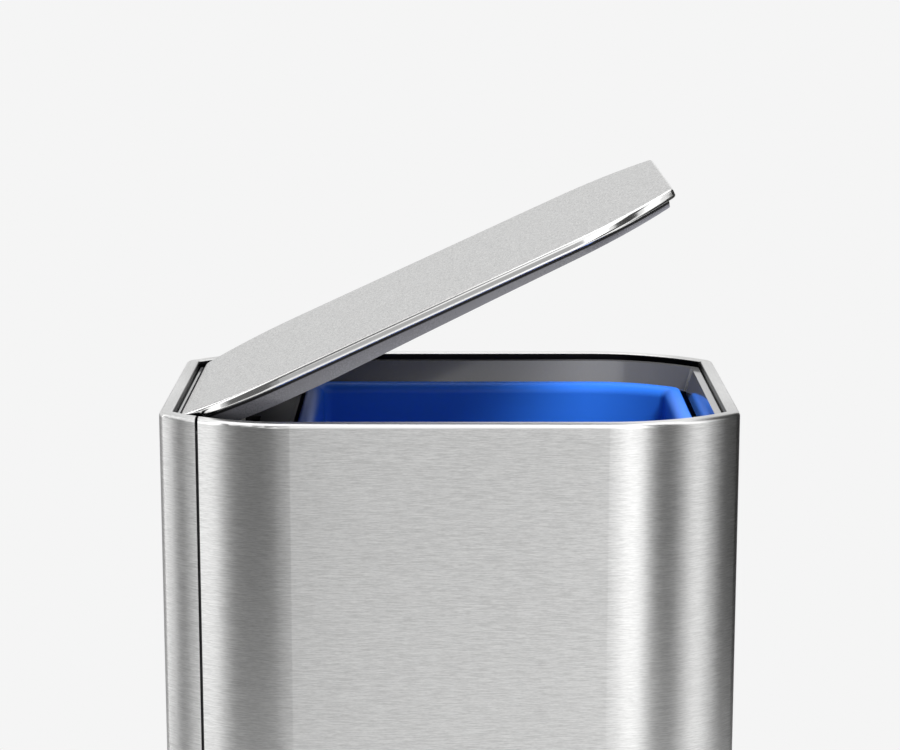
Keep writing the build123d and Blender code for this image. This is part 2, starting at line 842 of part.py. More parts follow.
def plate(side_view, y_middle, circles, foot, foot_level):
    """Add an upright plate round some circles, joined to a straight foot."""
    with BuildSketch(side_view(y_middle + ear_thickness / 2), mode=Mode.PRIVATE) as profile:
        for centre, radius in circles:
            with Locations(centre):
                Circle(radius)
        with Locations((sum(foot) / 2, foot_level + bracket_sheet / 2)):
            Rectangle(foot[1] - foot[0], bracket_sheet)
        make_hull()
    extrude(profile.sketch, amount=ear_thickness)


with BuildPart() as lid_bracket:
    lid_block(
        (hinge_x + web_rear, pad_front - web_setback),
        (-web_half_width, web_half_width),
        (flange_top, bracket_top),
    )
    for side in (-1, 1):
        plate(
            lid_side,
            side * crank_plate_position,
            [((0, 0), ear_radius), (crank_point, crank_pin_radius + ear_wall)],
            crank_foot,
            web_level,
        )
        plate(lid_side, side * lid_ear_position, [((0, 0), ear_radius)], ear_foot, web_level)
    cross_bar(lid_side, -half_width, half_width, [(0, 0)], pin_bore, Mode.SUBTRACT)
    cross_bar(lid_side, -half_width, half_width, [crank_point], crank_pin_radius + running_gap, Mode.SUBTRACT)
    disc(lid_plane.offset(flange_top), bracket_screw_points, screw_bore, bracket_sheet, Mode.SUBTRACT)

with BuildPart() as crank_pin:
    pin_reach = crank_plate_outer + pin_end
    cross_bar(lid_side, -pin_reach, pin_reach, [crank_point], crank_pin_radius)

with BuildPart() as lid_bracket_screws:
    disc(lid_plane.offset(bracket_top), bracket_screw_points, screw_head_radius, screw_head_height)
    disc(lid_plane.offset(bracket_top), bracket_screw_points, screw_radius, -screw_length)

save(lid_bracket, "lid_bracket")
save(crank_pin, "crank_pin")
save(lid_bracket_screws, "lid_bracket_screws")

# Push rod, slotted head and foot

yoke_bottom = slot_center_z - crank_pin_radius - slot_clearance - yoke_wall
yoke_top = slot_center_z + crank_pin_radius + slot_clearance + yoke_wall
neck_bottom = yoke_bottom - yoke_neck_length
slot_half_length = yoke_half_length - yoke_wall
rod_point = (rod_x, 0)

with BuildPart() as rod_yoke:
    with BuildSketch(body_side(yoke_thickness / 2), mode=Mode.PRIVATE) as yoke_face:
        with Locations((rod_x, (yoke_bottom + yoke_top) / 2)):
            Rectangle(2 * yoke_half_length, yoke_top - yoke_bottom)
        fillet(yoke_face.vertices(), yoke_wall)
        with Locations((rod_x, slot_center_z)):
            SlotOverall(2 * slot_half_length, 2 * (crank_pin_radius + slot_clearance), mode=Mode.SUBTRACT)
    extrude(yoke_face.sketch, amount=yoke_thickness)
    disc(Plane.XY.offset(neck_bottom), [rod_point], yoke_neck_radius, yoke_neck_length + yoke_wall / 2)
    disc(Plane.XY.offset(neck_bottom), [rod_point], rod_radius + running_gap, yoke_neck_length, Mode.SUBTRACT)

with BuildPart() as push_rod:
    disc(
        Plane.XY.offset(foot_bottom + foot_thickness),
        [rod_point],
        rod_radius,
        neck_bottom + yoke_neck_length - foot_bottom - foot_thickness,
    )

with BuildPart() as rod_foot:
    with BuildSketch(Plane.XY.offset(foot_bottom)):
        with Locations(rod_point):
            RectangleRounded(foot_length, foot_width, foot_width / 4)
    extrude(amount=foot_thickness)
    disc(Plane.XY.offset(foot_bottom + foot_thickness), [rod_point], yoke_neck_radius, foot_socket_length)
    disc(
        Plane.XY.offset(foot_bottom + foot_thickness),
        [rod_point],
        rod_radius + running_gap,
        foot_socket_length,
        Mode.SUBTRACT,
    )

save(rod_yoke, "rod_yoke")
save(push_rod, "push_rod")
save(rod_foot, "rod_foot")

# Guides and damper clamp on the partition: a screwed flange with an arm that ends in a ring


def wall_arm(level, y, ring_radius, bore_radius):
    """Add an arm on the partition that holds a ring round a vertical bore above rod_x."""
    with BuildSketch(Plane.XY.offset(level - guide_thickness / 2), mode=Mode.PRIVATE) as arm:
        with Locations((rod_x, y)):
            Circle(ring_radius)
        with Locations((partition_rear - guide_flange_thickness, y)):
            Rectangle(1, 2 * ring_radius + 4)
        make_hull()
    extrude(arm.sketch, amount=guide_thickness)
    block(
        (partition_rear - guide_flange_thickness, partition_rear),
        (y - guide_flange_width / 2, y + guide_flange_width / 2),
        (level - guide_flange_height / 2, level + guide_flange_height / 2),
    )
    arm_top = Plane.XY.offset(level + guide_thickness / 2)
    disc(arm_top, [(rod_x, y)], bore_radius, -guide_thickness, Mode.SUBTRACT)
    holes = [(y - guide_hole_y, level), (y + guide_hole_y, level)]
    disc(Plane.YZ.offset(partition_rear), holes, screw_bore, -guide_flange_thickness, Mode.SUBTRACT)


with BuildPart() as lower_rod_guide:
    wall_arm(lower_guide_level, 0, guide_boss_radius, rod_radius + running_gap)

with BuildPart() as upper_rod_guide:
    wall_arm(upper_guide_level, 0, guide_boss_radius, rod_radius + running_gap)

with BuildPart() as damper_bracket:
    wall_arm(damper_clamp_level, damper_offset, damper_radius + frame_wall, damper_radius + running_gap)

with BuildPart() as guide_screws:
    head_plane = Plane.YZ.offset(partition_rear - guide_flange_thickness)
    disc(head_plane, partition_holes, screw_head_radius, -screw_head_height)
    disc(head_plane, partition_holes, screw_radius, guide_flange_thickness + frame_wall)

save(lower_rod_guide, "lower_rod_guide")
save(upper_rod_guide, "upper_rod_guide")
save(damper_bracket, "damper_bracket")
save(guide_screws, "guide_screws")

# Air damper beside the push rod

damper_point = (rod_x, damper_offset)
damper_bore = damper_radius - damper_wall

with BuildPart() as damper_cylinder:
    disc(Plane.XY.offset(damper_bottom), [damper_point], damper_radius, damper_length)
    disc(
        Plane.XY.offset(damper_bottom + damper_wall),
        [damper_point],
        damper_bore,
        damper_length,
        Mode.SUBTRACT,
    )

with BuildPart() as damper_cap:
    disc(Plane.XY.offset(damper_bottom + damper_length), [damper_point], damper_radius, damper_cap_height)
    disc(
        Plane.XY.offset(damper_bottom + damper_length - damper_cap_height),
        [damper_point],
        damper_bore - running_gap,
        damper_cap_height,
    )
    disc(
        Plane.XY.offset(damper_bottom + damper_length - damper_cap_height),
        [damper_point],
        damper_rod_radius + running_gap,
        2 * damper_cap_height,
        Mode.SUBTRACT,
    )

with BuildPart() as damper_piston:
    disc(
        Plane.XY.offset(piston_level - piston_thickness / 2),
        [damper_point],
        damper_bore - piston_gap,
        piston_thickness,
    )
    disc(
        Plane.XY.offset(piston_level - piston_thickness / 2),
        [damper_point],
        damper_rod_radius + running_gap,
        piston_thickness,
        Mode.SUBTRACT,
    )

with BuildPart() as damper_rod:
    disc(
        Plane.XY.offset(piston_level - piston_thickness / 2),
        [damper_point],
        damper_rod_radius,
        link_level + link_thickness / 2 - piston_level + piston_thickness / 2,
    )

with BuildPart() as damper_link:
    with BuildSketch(Plane.XY.offset(link_level - link_thickness / 2)):
        with Locations(rod_point):
            Circle(guide_boss_radius)
        with Locations(damper_point):
            Circle(guide_boss_radius)
        make_hull()
        with Locations(rod_point):
            Circle(rod_radius + running_gap, mode=Mode.SUBTRACT)
        with Locations(damper_point):
            Circle(damper_rod_radius + running_gap, mode=Mode.SUBTRACT)
    extrude(amount=link_thickness)

save(damper_cylinder, "damper_cylinder")
save(damper_cap, "damper_cap")
save(damper_piston, "damper_piston")
save(damper_rod, "damper_rod")
save(damper_link, "damper_link")

# Inner bucket

bucket_rear_trim = half_length - bucket_inset - bucket_rear


def bucket_outline(inset, corner):
    """The bucket's outline seen from above, moved in by inset from its rim."""
    return plan_outline(bucket_inset + inset, corner, bucket_rear_trim, square_rear=True)


bucket_shoulder = bucket_top - bucket_neck
bucket_draft = (bucket_shoulder - deck_top) * tan(radians(bucket_taper))
inner_draft = bucket_draft - bucket_floor * tan(radians(bucket_taper))
wall_inset = bucket_rim_width
mouth_inset = bucket_rim_width + bucket_wall

with BuildPart() as inner_bucket:
    plan_prism(body_plane, bucket_top - bucket_lip, bucket_top, bucket_outline(0, bucket_corner))
    fillet(inner_bucket.faces().sort_by(Axis.Z)[-1].edges(), bucket_rim_round)
    with BuildPart(mode=Mode.PRIVATE) as lip_hollow:
        plan_prism(
            body_plane,
            bucket_top - bucket_lip,
            bucket_top - bucket_wall,
            bucket_outline(bucket_wall, bucket_corner - bucket_wall),
        )
        fillet(lip_hollow.faces().sort_by(Axis.Z)[-1].edges(), bucket_rim_round - bucket_wall)
        plan_prism(
            body_plane,
            bucket_top - bucket_lip,
            bucket_top,
            bucket_outline(wall_inset, bucket_corner),
            mode=Mode.SUBTRACT,
        )
        fillet(
            lip_hollow.faces().sort_by(Axis.Z)[-1].inner_wires()[0].edges(),
            bucket_mouth_round - bucket_wall,
        )
    add(lip_hollow.part, mode=Mode.SUBTRACT)
    plan_prism(
        body_plane, bucket_shoulder, bucket_top - bucket_lip, bucket_outline(wall_inset, bucket_corner)
    )
    plan_prism(
        body_plane,
        bucket_shoulder,
        bucket_top,
        bucket_outline(mouth_inset, bucket_corner - bucket_wall),
        mode=Mode.SUBTRACT,
    )
    fillet(inner_bucket.faces().sort_by(Axis.Z)[-1].inner_wires()[0].edges(), bucket_mouth_round)
    plan_loft(
        body_plane,
        deck_top,
        bucket_shoulder,
        bucket_outline(wall_inset + bucket_draft, bucket_corner),
        bucket_outline(wall_inset, bucket_corner),
    )
    plan_loft(
        body_plane,
        deck_top + bucket_floor,
        bucket_shoulder,
        bucket_outline(mouth_inset + inner_draft, bucket_corner - bucket_wall),
        bucket_outline(mouth_inset, bucket_corner - bucket_wall),
        mode=Mode.SUBTRACT,
    )

save(inner_bucket, "inner_bucket")

# Pedal lever and what it carries

dip_end = dip_start + dip_length
half_lever = lever_height / 2
web_side = lever_width / 2 - lever_sheet
bush_radius = pivot_radius + running_gap + bush_wall
bush_outer = bush_radius + bush_flange
bracket_ear_position = lever_width / 2 + bush_flange_length + fit_gap + ear_thickness / 2
pivot_half_length = bracket_ear_position + ear_thickness / 2 + fit_gap
lever_tail = -tail_reach - shoe_length / 2


def lever_profile(low, high, front):
    """Side view of the lever between two heights above its middle line."""
    with BuildSketch(mode=Mode.PRIVATE) as profile:
        with BuildLine():
            Polyline(
                (lever_tail, low),
                (dip_start, low),
                (dip_end, low - lever_dip),
                (front, high - lever_dip - 2 * lever_sheet),
                (front, high - lever_dip),
                (dip_end, high - lever_dip),
                (dip_start, high),
                (lever_tail, high),
                close=True,
            )
        make_face()
    return profile.sketch


def lever_slab(profile, half_across, mode=Mode.ADD):
    """Add a side profile of the lever extruded across it."""
    with BuildSketch(lever_side(half_across), mode=Mode.PRIVATE) as section:
        add(profile)
    extrude(section.sketch, amount=2 * half_across, mode=mode)


tread_level = half_lever - lever_dip - lever_sheet
rivet_points = [(tread_inner_reach + rivet_setback, y) for y in (-rivet_offset, rivet_offset)]

with BuildPart() as pedal_lever:
    lever_slab(lever_profile(-half_lever, half_lever, lever_reach), lever_width / 2)
    cross_bar(lever_side, -lever_width / 2, lever_width / 2, [(0, 0)], pivot_boss_radius)
    lever_slab(
        lever_profile(-half_lever - lever_sheet, half_lever - lever_sheet, lever_reach + lever_sheet),
        web_side,
        Mode.SUBTRACT,
    )
    cross_bar(lever_side, -web_side, web_side, [(0, 0)], pivot_boss_radius, Mode.SUBTRACT)
    cross_bar(lever_side, -half_width, half_width, [(0, 0)], bush_radius + running_gap, Mode.SUBTRACT)
    disc(lever_plane.offset(tread_level - 1), rivet_points, screw_bore, lever_sheet + 2, Mode.SUBTRACT)

with BuildPart() as pedal_tread:
    with BuildSketch(lever_plane.offset(tread_level), mode=Mode.PRIVATE) as tread_face:
        with Locations(((tread_rear + tread_outer_reach) / 2, 0)):
            Rectangle(tread_outer_reach - tread_rear, tread_width)
        fillet(tread_face.vertices().group_by(Axis.X)[-1], tread_corner)
        fillet(tread_face.vertices().group_by(Axis.X)[0], tread_corner / 4)
        with Locations(((tread_inner_reach + tread_rear + tread_step) / 2, 0)):
            Rectangle(tread_rear + tread_step - tread_inner_reach, 2 * (web_side - fit_gap))
    extrude(tread_face.sketch, amount=-tread_sheet)
    with BuildSketch(lever_plane.offset(tread_level - tread_sheet), mode=Mode.PRIVATE) as lip:
        with Locations((tread_outer_reach - tread_sheet / 2, 0)):
            Rectangle(tread_sheet, tread_width - 2 * tread_corner)
    extrude(lip.sketch, amount=tread_sheet - tread_lip)
    tread_top = pedal_tread.faces().sort_by(Axis(lever_plane.origin, lever_up))[-1]
    fillet(tread_top.edges(), tread_edge_round)
    disc(lever_plane.offset(tread_level), rivet_points, screw_bore, -tread_sheet, Mode.SUBTRACT)

pad_rear = tread_rear + pad_margin
pad_front_edge = tread_outer_reach - pad_margin
groove_count = int((pad_front_edge - pad_rear) / pad_groove_pitch)

with BuildPart() as tread_pad:
    with BuildSketch(lever_plane.offset(tread_level), mode=Mode.PRIVATE) as pad_face:
        with Locations(((pad_rear + pad_front_edge) / 2, 0)):
            RectangleRounded(pad_front_edge - pad_rear, tread_width - 2 * pad_margin, tread_corner / 2)
    extrude(pad_face.sketch, amount=pad_thickness)
    with BuildSketch(lever_plane.offset(tread_level + pad_thickness), mode=Mode.PRIVATE) as grooves:
        with Locations(((pad_rear + pad_front_edge) / 2, 0)):
            with GridLocations(pad_groove_pitch, 0, groove_count, 1):
                SlotOverall(tread_width - 4 * pad_margin, pad_thickness, rotation=90)
    extrude(grooves.sketch, amount=-pad_thickness / 2, mode=Mode.SUBTRACT)

with BuildPart() as tread_rivets:
    head_plane = lever_plane.offset(tread_level + lever_sheet)
    disc(head_plane, rivet_points, screw_head_radius, screw_head_height)
    disc(head_plane, rivet_points, screw_radius, -lever_sheet - tread_sheet)

with BuildPart() as tail_shoe:
    with BuildSketch(lever_side(web_side), mode=Mode.PRIVATE) as shoe_profile:
        with Locations((-tail_reach, half_lever + shoe_height / 2)):
            Rectangle(shoe_length, shoe_height)
        with Locations((-tail_reach, shoe_center)):
            Circle(shoe_radius)
        with Locations((-tail_reach, half_lever - shoe_radius)):
            Rectangle(shoe_length, 2 * shoe_radius, mode=Mode.SUBTRACT)
    extrude(shoe_profile.sketch, amount=2 * web_side)

save(pedal_lever, "pedal_lever")
save(pedal_tread, "pedal_tread")
save(tread_pad, "tread_pad")
save(tread_rivets, "tread_rivets")
save(tail_shoe, "tail_shoe")

# Pivot of the lever: bracket on the floor, pin, clip and bushes

bracket_half_length = pivot_bracket_length / 2
bracket_half_width = bracket_ear_position + ear_thickness / 2
pivot_point = (pivot_x, pivot_height)
pivot_bore = pivot_radius + running_gap
pivot_head_radius = pivot_radius + ear_wall
pivot_clip_end = pivot_half_length + clip_thickness

with BuildPart() as pivot_bracket:
    block(
        (pivot_x - bracket_half_length, pivot_x + bracket_half_length),
        (-bracket_half_width, bracket_half_width),
        (floor_top, floor_top + bracket_sheet),
    )
    for side in (-1, 1):
        ear_side = body_side(side * bracket_ear_position + ear_thickness / 2)
        with BuildSketch(ear_side, mode=Mode.PRIVATE) as ear:
            with Locations(pivot_point):
                Circle(pivot_radius + 2 * ear_wall)
            with Locations((pivot_x, floor_top + bracket_sheet / 2)):
                Rectangle(2 * bracket_half_length, bracket_sheet)
            make_hull()
        extrude(ear.sketch, amount=ear_thickness)
    cross_bar(body_side, -half_width, half_width, [pivot_point], pivot_bore, Mode.SUBTRACT)
    disc(Plane.XY.offset(floor_top), pivot_points, screw_bore, bracket_sheet, Mode.SUBTRACT)

with BuildPart() as pivot_pin:
    cross_bar(body_side, -pivot_half_length, pivot_clip_end + pin_end, [pivot_point], pivot_radius)
    head_start = -pivot_half_length - hinge_head_height
    cross_bar(body_side, head_start, -pivot_half_length, [pivot_point], pivot_head_radius)

with BuildPart() as pivot_clip:
    cross_bar(body_side, pivot_half_length, pivot_clip_end, [pivot_point], pivot_head_radius)
    cross_bar(body_side, pivot_half_length, pivot_clip_end, [pivot_point], pivot_bore, Mode.SUBTRACT)

with BuildPart() as pivot_bushes:
    for side in (-1, 1):
        sleeve_span = sorted((side * web_side, side * lever_width / 2))
        flange_span = sorted((side * lever_width / 2, side * (lever_width / 2 + bush_flange_length)))
        cross_bar(lever_side, *sleeve_span, [(0, 0)], bush_radius)
        cross_bar(lever_side, *flange_span, [(0, 0)], bush_outer)
    cross_bar(lever_side, -half_width, half_width, [(0, 0)], pivot_bore, Mode.SUBTRACT)

with BuildPart() as pivot_screws:
    head_plane = Plane.XY.offset(floor_top + bracket_sheet)
    disc(head_plane, pivot_points, screw_head_radius, screw_head_height)
    disc(head_plane, pivot_points, screw_radius, fit_gap - bracket_sheet - floor_thickness)

save(pivot_bracket, "pivot_bracket")
save(pivot_pin, "pivot_pin")
save(pivot_clip, "pivot_clip")
save(pivot_bushes, "pivot_bushes")
save(pivot_screws, "pivot_screws")
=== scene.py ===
"""Step trash can, dressed and lit for a plain studio picture.

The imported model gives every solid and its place. This script gives each of them a procedural finish, replaces the
fasteners by finer surfaces, and sets up the floor, the lamps and the camera. Lengths are in metres.
"""

from __future__ import annotations

import logging
import math
from collections.abc import Mapping, Sequence
from dataclasses import dataclass, field
from enum import Enum

import bpy
import numpy as np
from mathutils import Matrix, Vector

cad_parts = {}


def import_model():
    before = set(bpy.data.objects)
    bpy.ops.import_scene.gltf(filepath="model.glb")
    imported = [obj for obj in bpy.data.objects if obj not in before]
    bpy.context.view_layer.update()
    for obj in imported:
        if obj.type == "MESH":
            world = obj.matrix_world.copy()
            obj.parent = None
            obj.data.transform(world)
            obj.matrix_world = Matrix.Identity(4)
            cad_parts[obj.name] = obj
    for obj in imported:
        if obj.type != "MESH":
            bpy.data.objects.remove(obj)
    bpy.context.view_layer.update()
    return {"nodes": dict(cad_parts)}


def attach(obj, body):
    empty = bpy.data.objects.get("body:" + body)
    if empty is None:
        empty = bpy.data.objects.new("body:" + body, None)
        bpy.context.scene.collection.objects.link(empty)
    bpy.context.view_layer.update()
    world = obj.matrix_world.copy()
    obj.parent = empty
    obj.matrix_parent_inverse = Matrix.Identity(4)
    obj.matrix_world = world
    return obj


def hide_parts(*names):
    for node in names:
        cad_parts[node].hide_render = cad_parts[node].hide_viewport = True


log = logging.getLogger("step_can")

Colour = tuple[float, float, float]
Value = "Signal | float | int | Sequence[float]"

FRAME_WIDTH = 900
MM = 0.001
# Near-black colour of painted shade in grooves and gaps.
PAINTED_SHADE_COLOUR: Colour = (0.008, 0.008, 0.009)
LID_HINGE = (-0.182, 0.6165)
LID_ANGLE = 25.0


class Signal:
    """One output of a shader node that takes part in ordinary arithmetic."""

    def __init__(self, graph: Graph, socket: bpy.types.NodeSocket) -> None:
        """Keep the graph and the socket.

        Args:
            graph: The node graph that new nodes are added to.
            socket: The output socket this signal stands for.
        """
        self.graph = graph
        self.socket = socket

    def _math(self, operation: str, first: Signal | float, second: Signal | float) -> Signal:
        """Add one Math node.

        Args:
            operation: Name of the Math node's operation.
            first: Its first operand.
            second: Its second operand.

        Returns:
            The node's output.
        """
        return self.graph.node("ShaderNodeMath", {"operation": operation}, {0: first, 1: second})

    def __add__(self, other: Signal | float) -> Signal:
        """Sum of two values."""
        return self._math("ADD", self, other)

    def __sub__(self, other: Signal | float) -> Signal:
        """Difference of two values."""
        return self._math("SUBTRACT", self, other)

    def __rsub__(self, other: float) -> Signal:
        """A number less this value."""
        return self._math("SUBTRACT", other, self)

    def __mul__(self, other: Signal | float) -> Signal:
        """Product of two values."""
        return self._math("MULTIPLY", self, other)

    def __pow__(self, other: float) -> Signal:
        """This value raised to a power."""
        return self._math("POWER", self, other)

    def __abs__(self) -> Signal:
        """This value without its sign."""
        return self._math("ABSOLUTE", self, 0.0)

    def highest(self, other: Signal | float) -> Signal:
        """The larger of two values."""
        return self._math("MAXIMUM", self, other)

    def lowest(self, other: Signal | float) -> Signal:
        """The smaller of two values."""
        return self._math("MINIMUM", self, other)

    def ramp(self, low: float, high: float) -> Signal:
        """Smooth step from 0 to 1.

        Args:
            low: Value at which the step starts.
            high: Value at which it ends.

        Returns:
            The eased value, held between 0 and 1.
        """
        settings = {"interpolation_type": "SMOOTHSTEP"}
        inputs = {"Value": self, "From Min": low, "From Max": high, "To Min": 0.0, "To Max": 1.0}
        return self.graph.node("ShaderNodeMapRange", settings, inputs)


class Graph:
    """A node tree that is written as Python expressions."""

    def __init__(self, tree: bpy.types.NodeTree) -> None:
        """Empty the tree and keep it.

        Args:
            tree: Node tree of a material or of the world.
        """
        self.tree = tree
        tree.nodes.clear()

    def node(
        self,
        kind: str,
        settings: Mapping[str, object] | None = None,
        inputs: Mapping[str | int, Value] | None = None,
        output: str | int = 0,
    ) -> Signal:
        """Add one node.

        Args:
            kind: Blender's name of the node's class.
            settings: Properties of the node, set before its sockets.
            inputs: Values or signals for its input sockets, by name or number.
            output: Name or number of the output that is returned.

        Returns:
            The chosen output.
        """
        made = self.tree.nodes.new(kind)
        for name, value in (settings or {}).items():
            setattr(made, name, value)
        for name, value in (inputs or {}).items():
            if isinstance(value, Signal):
                self.tree.links.new(value.socket, made.inputs[name])
            else:
                made.inputs[name].default_value = value
        return Signal(self, made.outputs[output]) if made.outputs else Signal(self, None)

    def place(self, stretch: Sequence[float] = (1.0, 1.0, 1.0)) -> Signal:
        """Object coordinates in metres, stretched along each axis.

        Args:
            stretch: Factors along X, Y and Z.

        Returns:
            The stretched coordinates.
        """
        coordinates = self.node("ShaderNodeTexCoord", output="Object")
        return self.node("ShaderNodeMapping", inputs={"Vector": coordinates, "Scale": tuple(stretch)})

    def axes(self) -> tuple[Signal, Signal, Signal]:
        """Object coordinates in metres, one by one.

        Returns:
            X, Y and Z.
        """
        apart = {0: self.place()}
        x, y, z = (self.node("ShaderNodeSeparateXYZ", inputs=apart, output=axis) for axis in "XYZ")
        return x, y, z

    def noise(self, stretch: Sequence[float], detail: float = 2.0, roughness: float = 0.5) -> Signal:
        """Grey noise around 0.5 over the object coordinates.

        Args:
            stretch: Cells per metre along X, Y and Z.
            detail: Number of finer layers.
            roughness: Weight of the finer layers.

        Returns:
            The noise value.
        """
        return self.noise_at(self.place(stretch), detail, roughness)

    def noise_at(self, point: Signal, detail: float = 2.0, roughness: float = 0.5) -> Signal:
        """Grey noise around 0.5 over a coordinate of one's own.

        Args:
            point: Where the noise is read, in cells.
            detail: Number of finer layers.
            roughness: Weight of the finer layers.

        Returns:
            The noise value.
        """
        inputs = {"Vector": point, "Scale": 1.0, "Detail": detail, "Roughness": roughness}
        return self.node("ShaderNodeTexNoise", inputs=inputs, output="Fac")

    def shade(self, amount: Signal, dark: Signal | Colour, light: Signal | Colour) -> Signal:
        """Blend two colours.

        Args:
            amount: 0 gives the first colour and 1 the second.
            dark: First colour.
            light: Second colour.

        Returns:
            The blended colour.
        """
        first, second = (part if isinstance(part, Signal) else (*part, 1.0) for part in (dark, light))
        inputs = {0: amount, 6: first, 7: second}
        return self.node("ShaderNodeMix", {"data_type": "RGBA", "clamp_factor": True}, inputs, output=2)

    def bump(self, height: Signal, depth: float) -> Signal:
        """Surface normal tilted by a height.

        Args:
            height: Height as a value from 0 to 1.
            depth: What a height of 1 measures, in metres.

        Returns:
            The tilted normal.
        """
        return self.node("ShaderNodeBump", inputs={"Height": height, "Distance": depth, "Strength": 1.0})


def tint(colour: Colour, factor: float) -> Colour:
    """Scale a colour.

    Args:
        colour: Linear red, green and blue.
        factor: What each is multiplied by.

    Returns:
        The scaled colour, held below 1.
    """
    return tuple(min(part * factor, 1.0) for part in colour)


@dataclass(frozen=True)
class Finish:
    """A surface finish that can be turned into a material."""

    name: str
    colour: Colour

    def describe(self, graph: Graph) -> dict[str | int, Value]:
        """Inputs of the surface shader; each finish gives its own."""
        raise NotImplementedError

    def material(self) -> bpy.types.Material:
        """Build the material.

        Returns:
            A new material with this finish.
        """
        made = bpy.data.materials.new(self.name)
        made.use_nodes = True
        graph = Graph(made.node_tree)
        surface = graph.node("ShaderNodeBsdfPrincipled", inputs=self.describe(graph))
        graph.node("ShaderNodeOutputMaterial", inputs={"Surface": surface})
        return made


@dataclass(frozen=True)
class BrushedSteel(Finish):
    """Stainless steel with fine lines from a belt, and polished where its own shape is rolled; the polished parts are
    also painted brighter, a painted highlight.
    """

    roughness: float = 0.3
    anisotropy: float = 0.7
    turn: float = 0.25
    lines_per_metre: tuple[float, float, float] = (16.0, 1400.0, 16.0)
    line_depth: float = 0.000004
    line_contrast: float = 0.06
    polished_roughness: float = 0.12
    # Painted highlight: polished parts are painted this much brighter than the steel.
    painted_highlight_gain: float = 1.45
    clouds_per_metre: tuple[float, float, float] = (7.0, 7.0, 5.0)
    line_share: float = 0.12
    cloud_share: float = 0.05

    def lines(self, graph: Graph) -> Signal:
        """Marks of the belt, from 0 to 1.

        Args:
            graph: Graph of the material.

        Returns:
            Long faint lines under short clear ones.
        """
        short = graph.noise(self.lines_per_metre, detail=2.0)
        long = graph.noise(tuple(part / 2.2 for part in self.lines_per_metre), detail=1.0)
        return short * 0.6 + long * 0.4

    def polish_and_highlight(self, graph: Graph) -> Signal | None:
        """Where the steel is polished and painted brighter as a highlight, from 0 to 1; none on a plain sheet.

        Args:
            graph: Graph of the material.

        Returns:
            The share of polish and painted highlight, or nothing.
        """
        return None

    def painted_shade(self, graph: Graph) -> Signal | None:
        """Where shade in a groove or gap is painted dark, from 0 to 1; none on a plain sheet.

        Args:
            graph: Graph of the material.

        Returns:
            The share of painted shade, or nothing.
        """
        return None

    def describe(self, graph: Graph) -> dict[str | int, Value]:
        """Lines vary colour, roughness and height; polished parts fade them out and get a painted highlight, a
        brighter colour, and grooves get painted shade.

        Args:
            graph: Graph of the material.

        Returns:
            Inputs of the surface shader.
        """
        lines = self.lines(graph)
        cloud = graph.noise(self.clouds_per_metre, detail=3.0)
        polish_and_highlight = self.polish_and_highlight(graph)
        middle = (self.line_share + self.cloud_share) / 2
        roughness = lines * self.line_share + cloud * self.cloud_share + (self.roughness - middle)
        marks = lines.ramp(0.3, 0.7)
        if polish_and_highlight is not None:
            keep = 1.0 - polish_and_highlight
            marks = (marks - 0.5) * keep + 0.5
            roughness = roughness * keep + polish_and_highlight * self.polished_roughness
        dark, light = (tint(self.colour, 1 + sign * self.line_contrast) for sign in (-1, 1))
        colour = graph.shade(marks, dark, light)
        # Painted highlight: polished parts are painted brighter than the steel.
        if polish_and_highlight is not None:
            colour = graph.shade(polish_and_highlight, colour, tint(self.colour, self.painted_highlight_gain))
        # Painted shade: grooves and gaps are painted near black.
        painted_shade = self.painted_shade(graph)
        if painted_shade is not None:
            colour = graph.shade(painted_shade, colour, PAINTED_SHADE_COLOUR)
        return {
            "Base Color": colour,
            "Metallic": 1.0,
            "Roughness": roughness,
            "Anisotropic": self.anisotropy,
            "Anisotropic Rotation": self.turn,
            "Normal": graph.bump(marks, self.line_depth),
        }


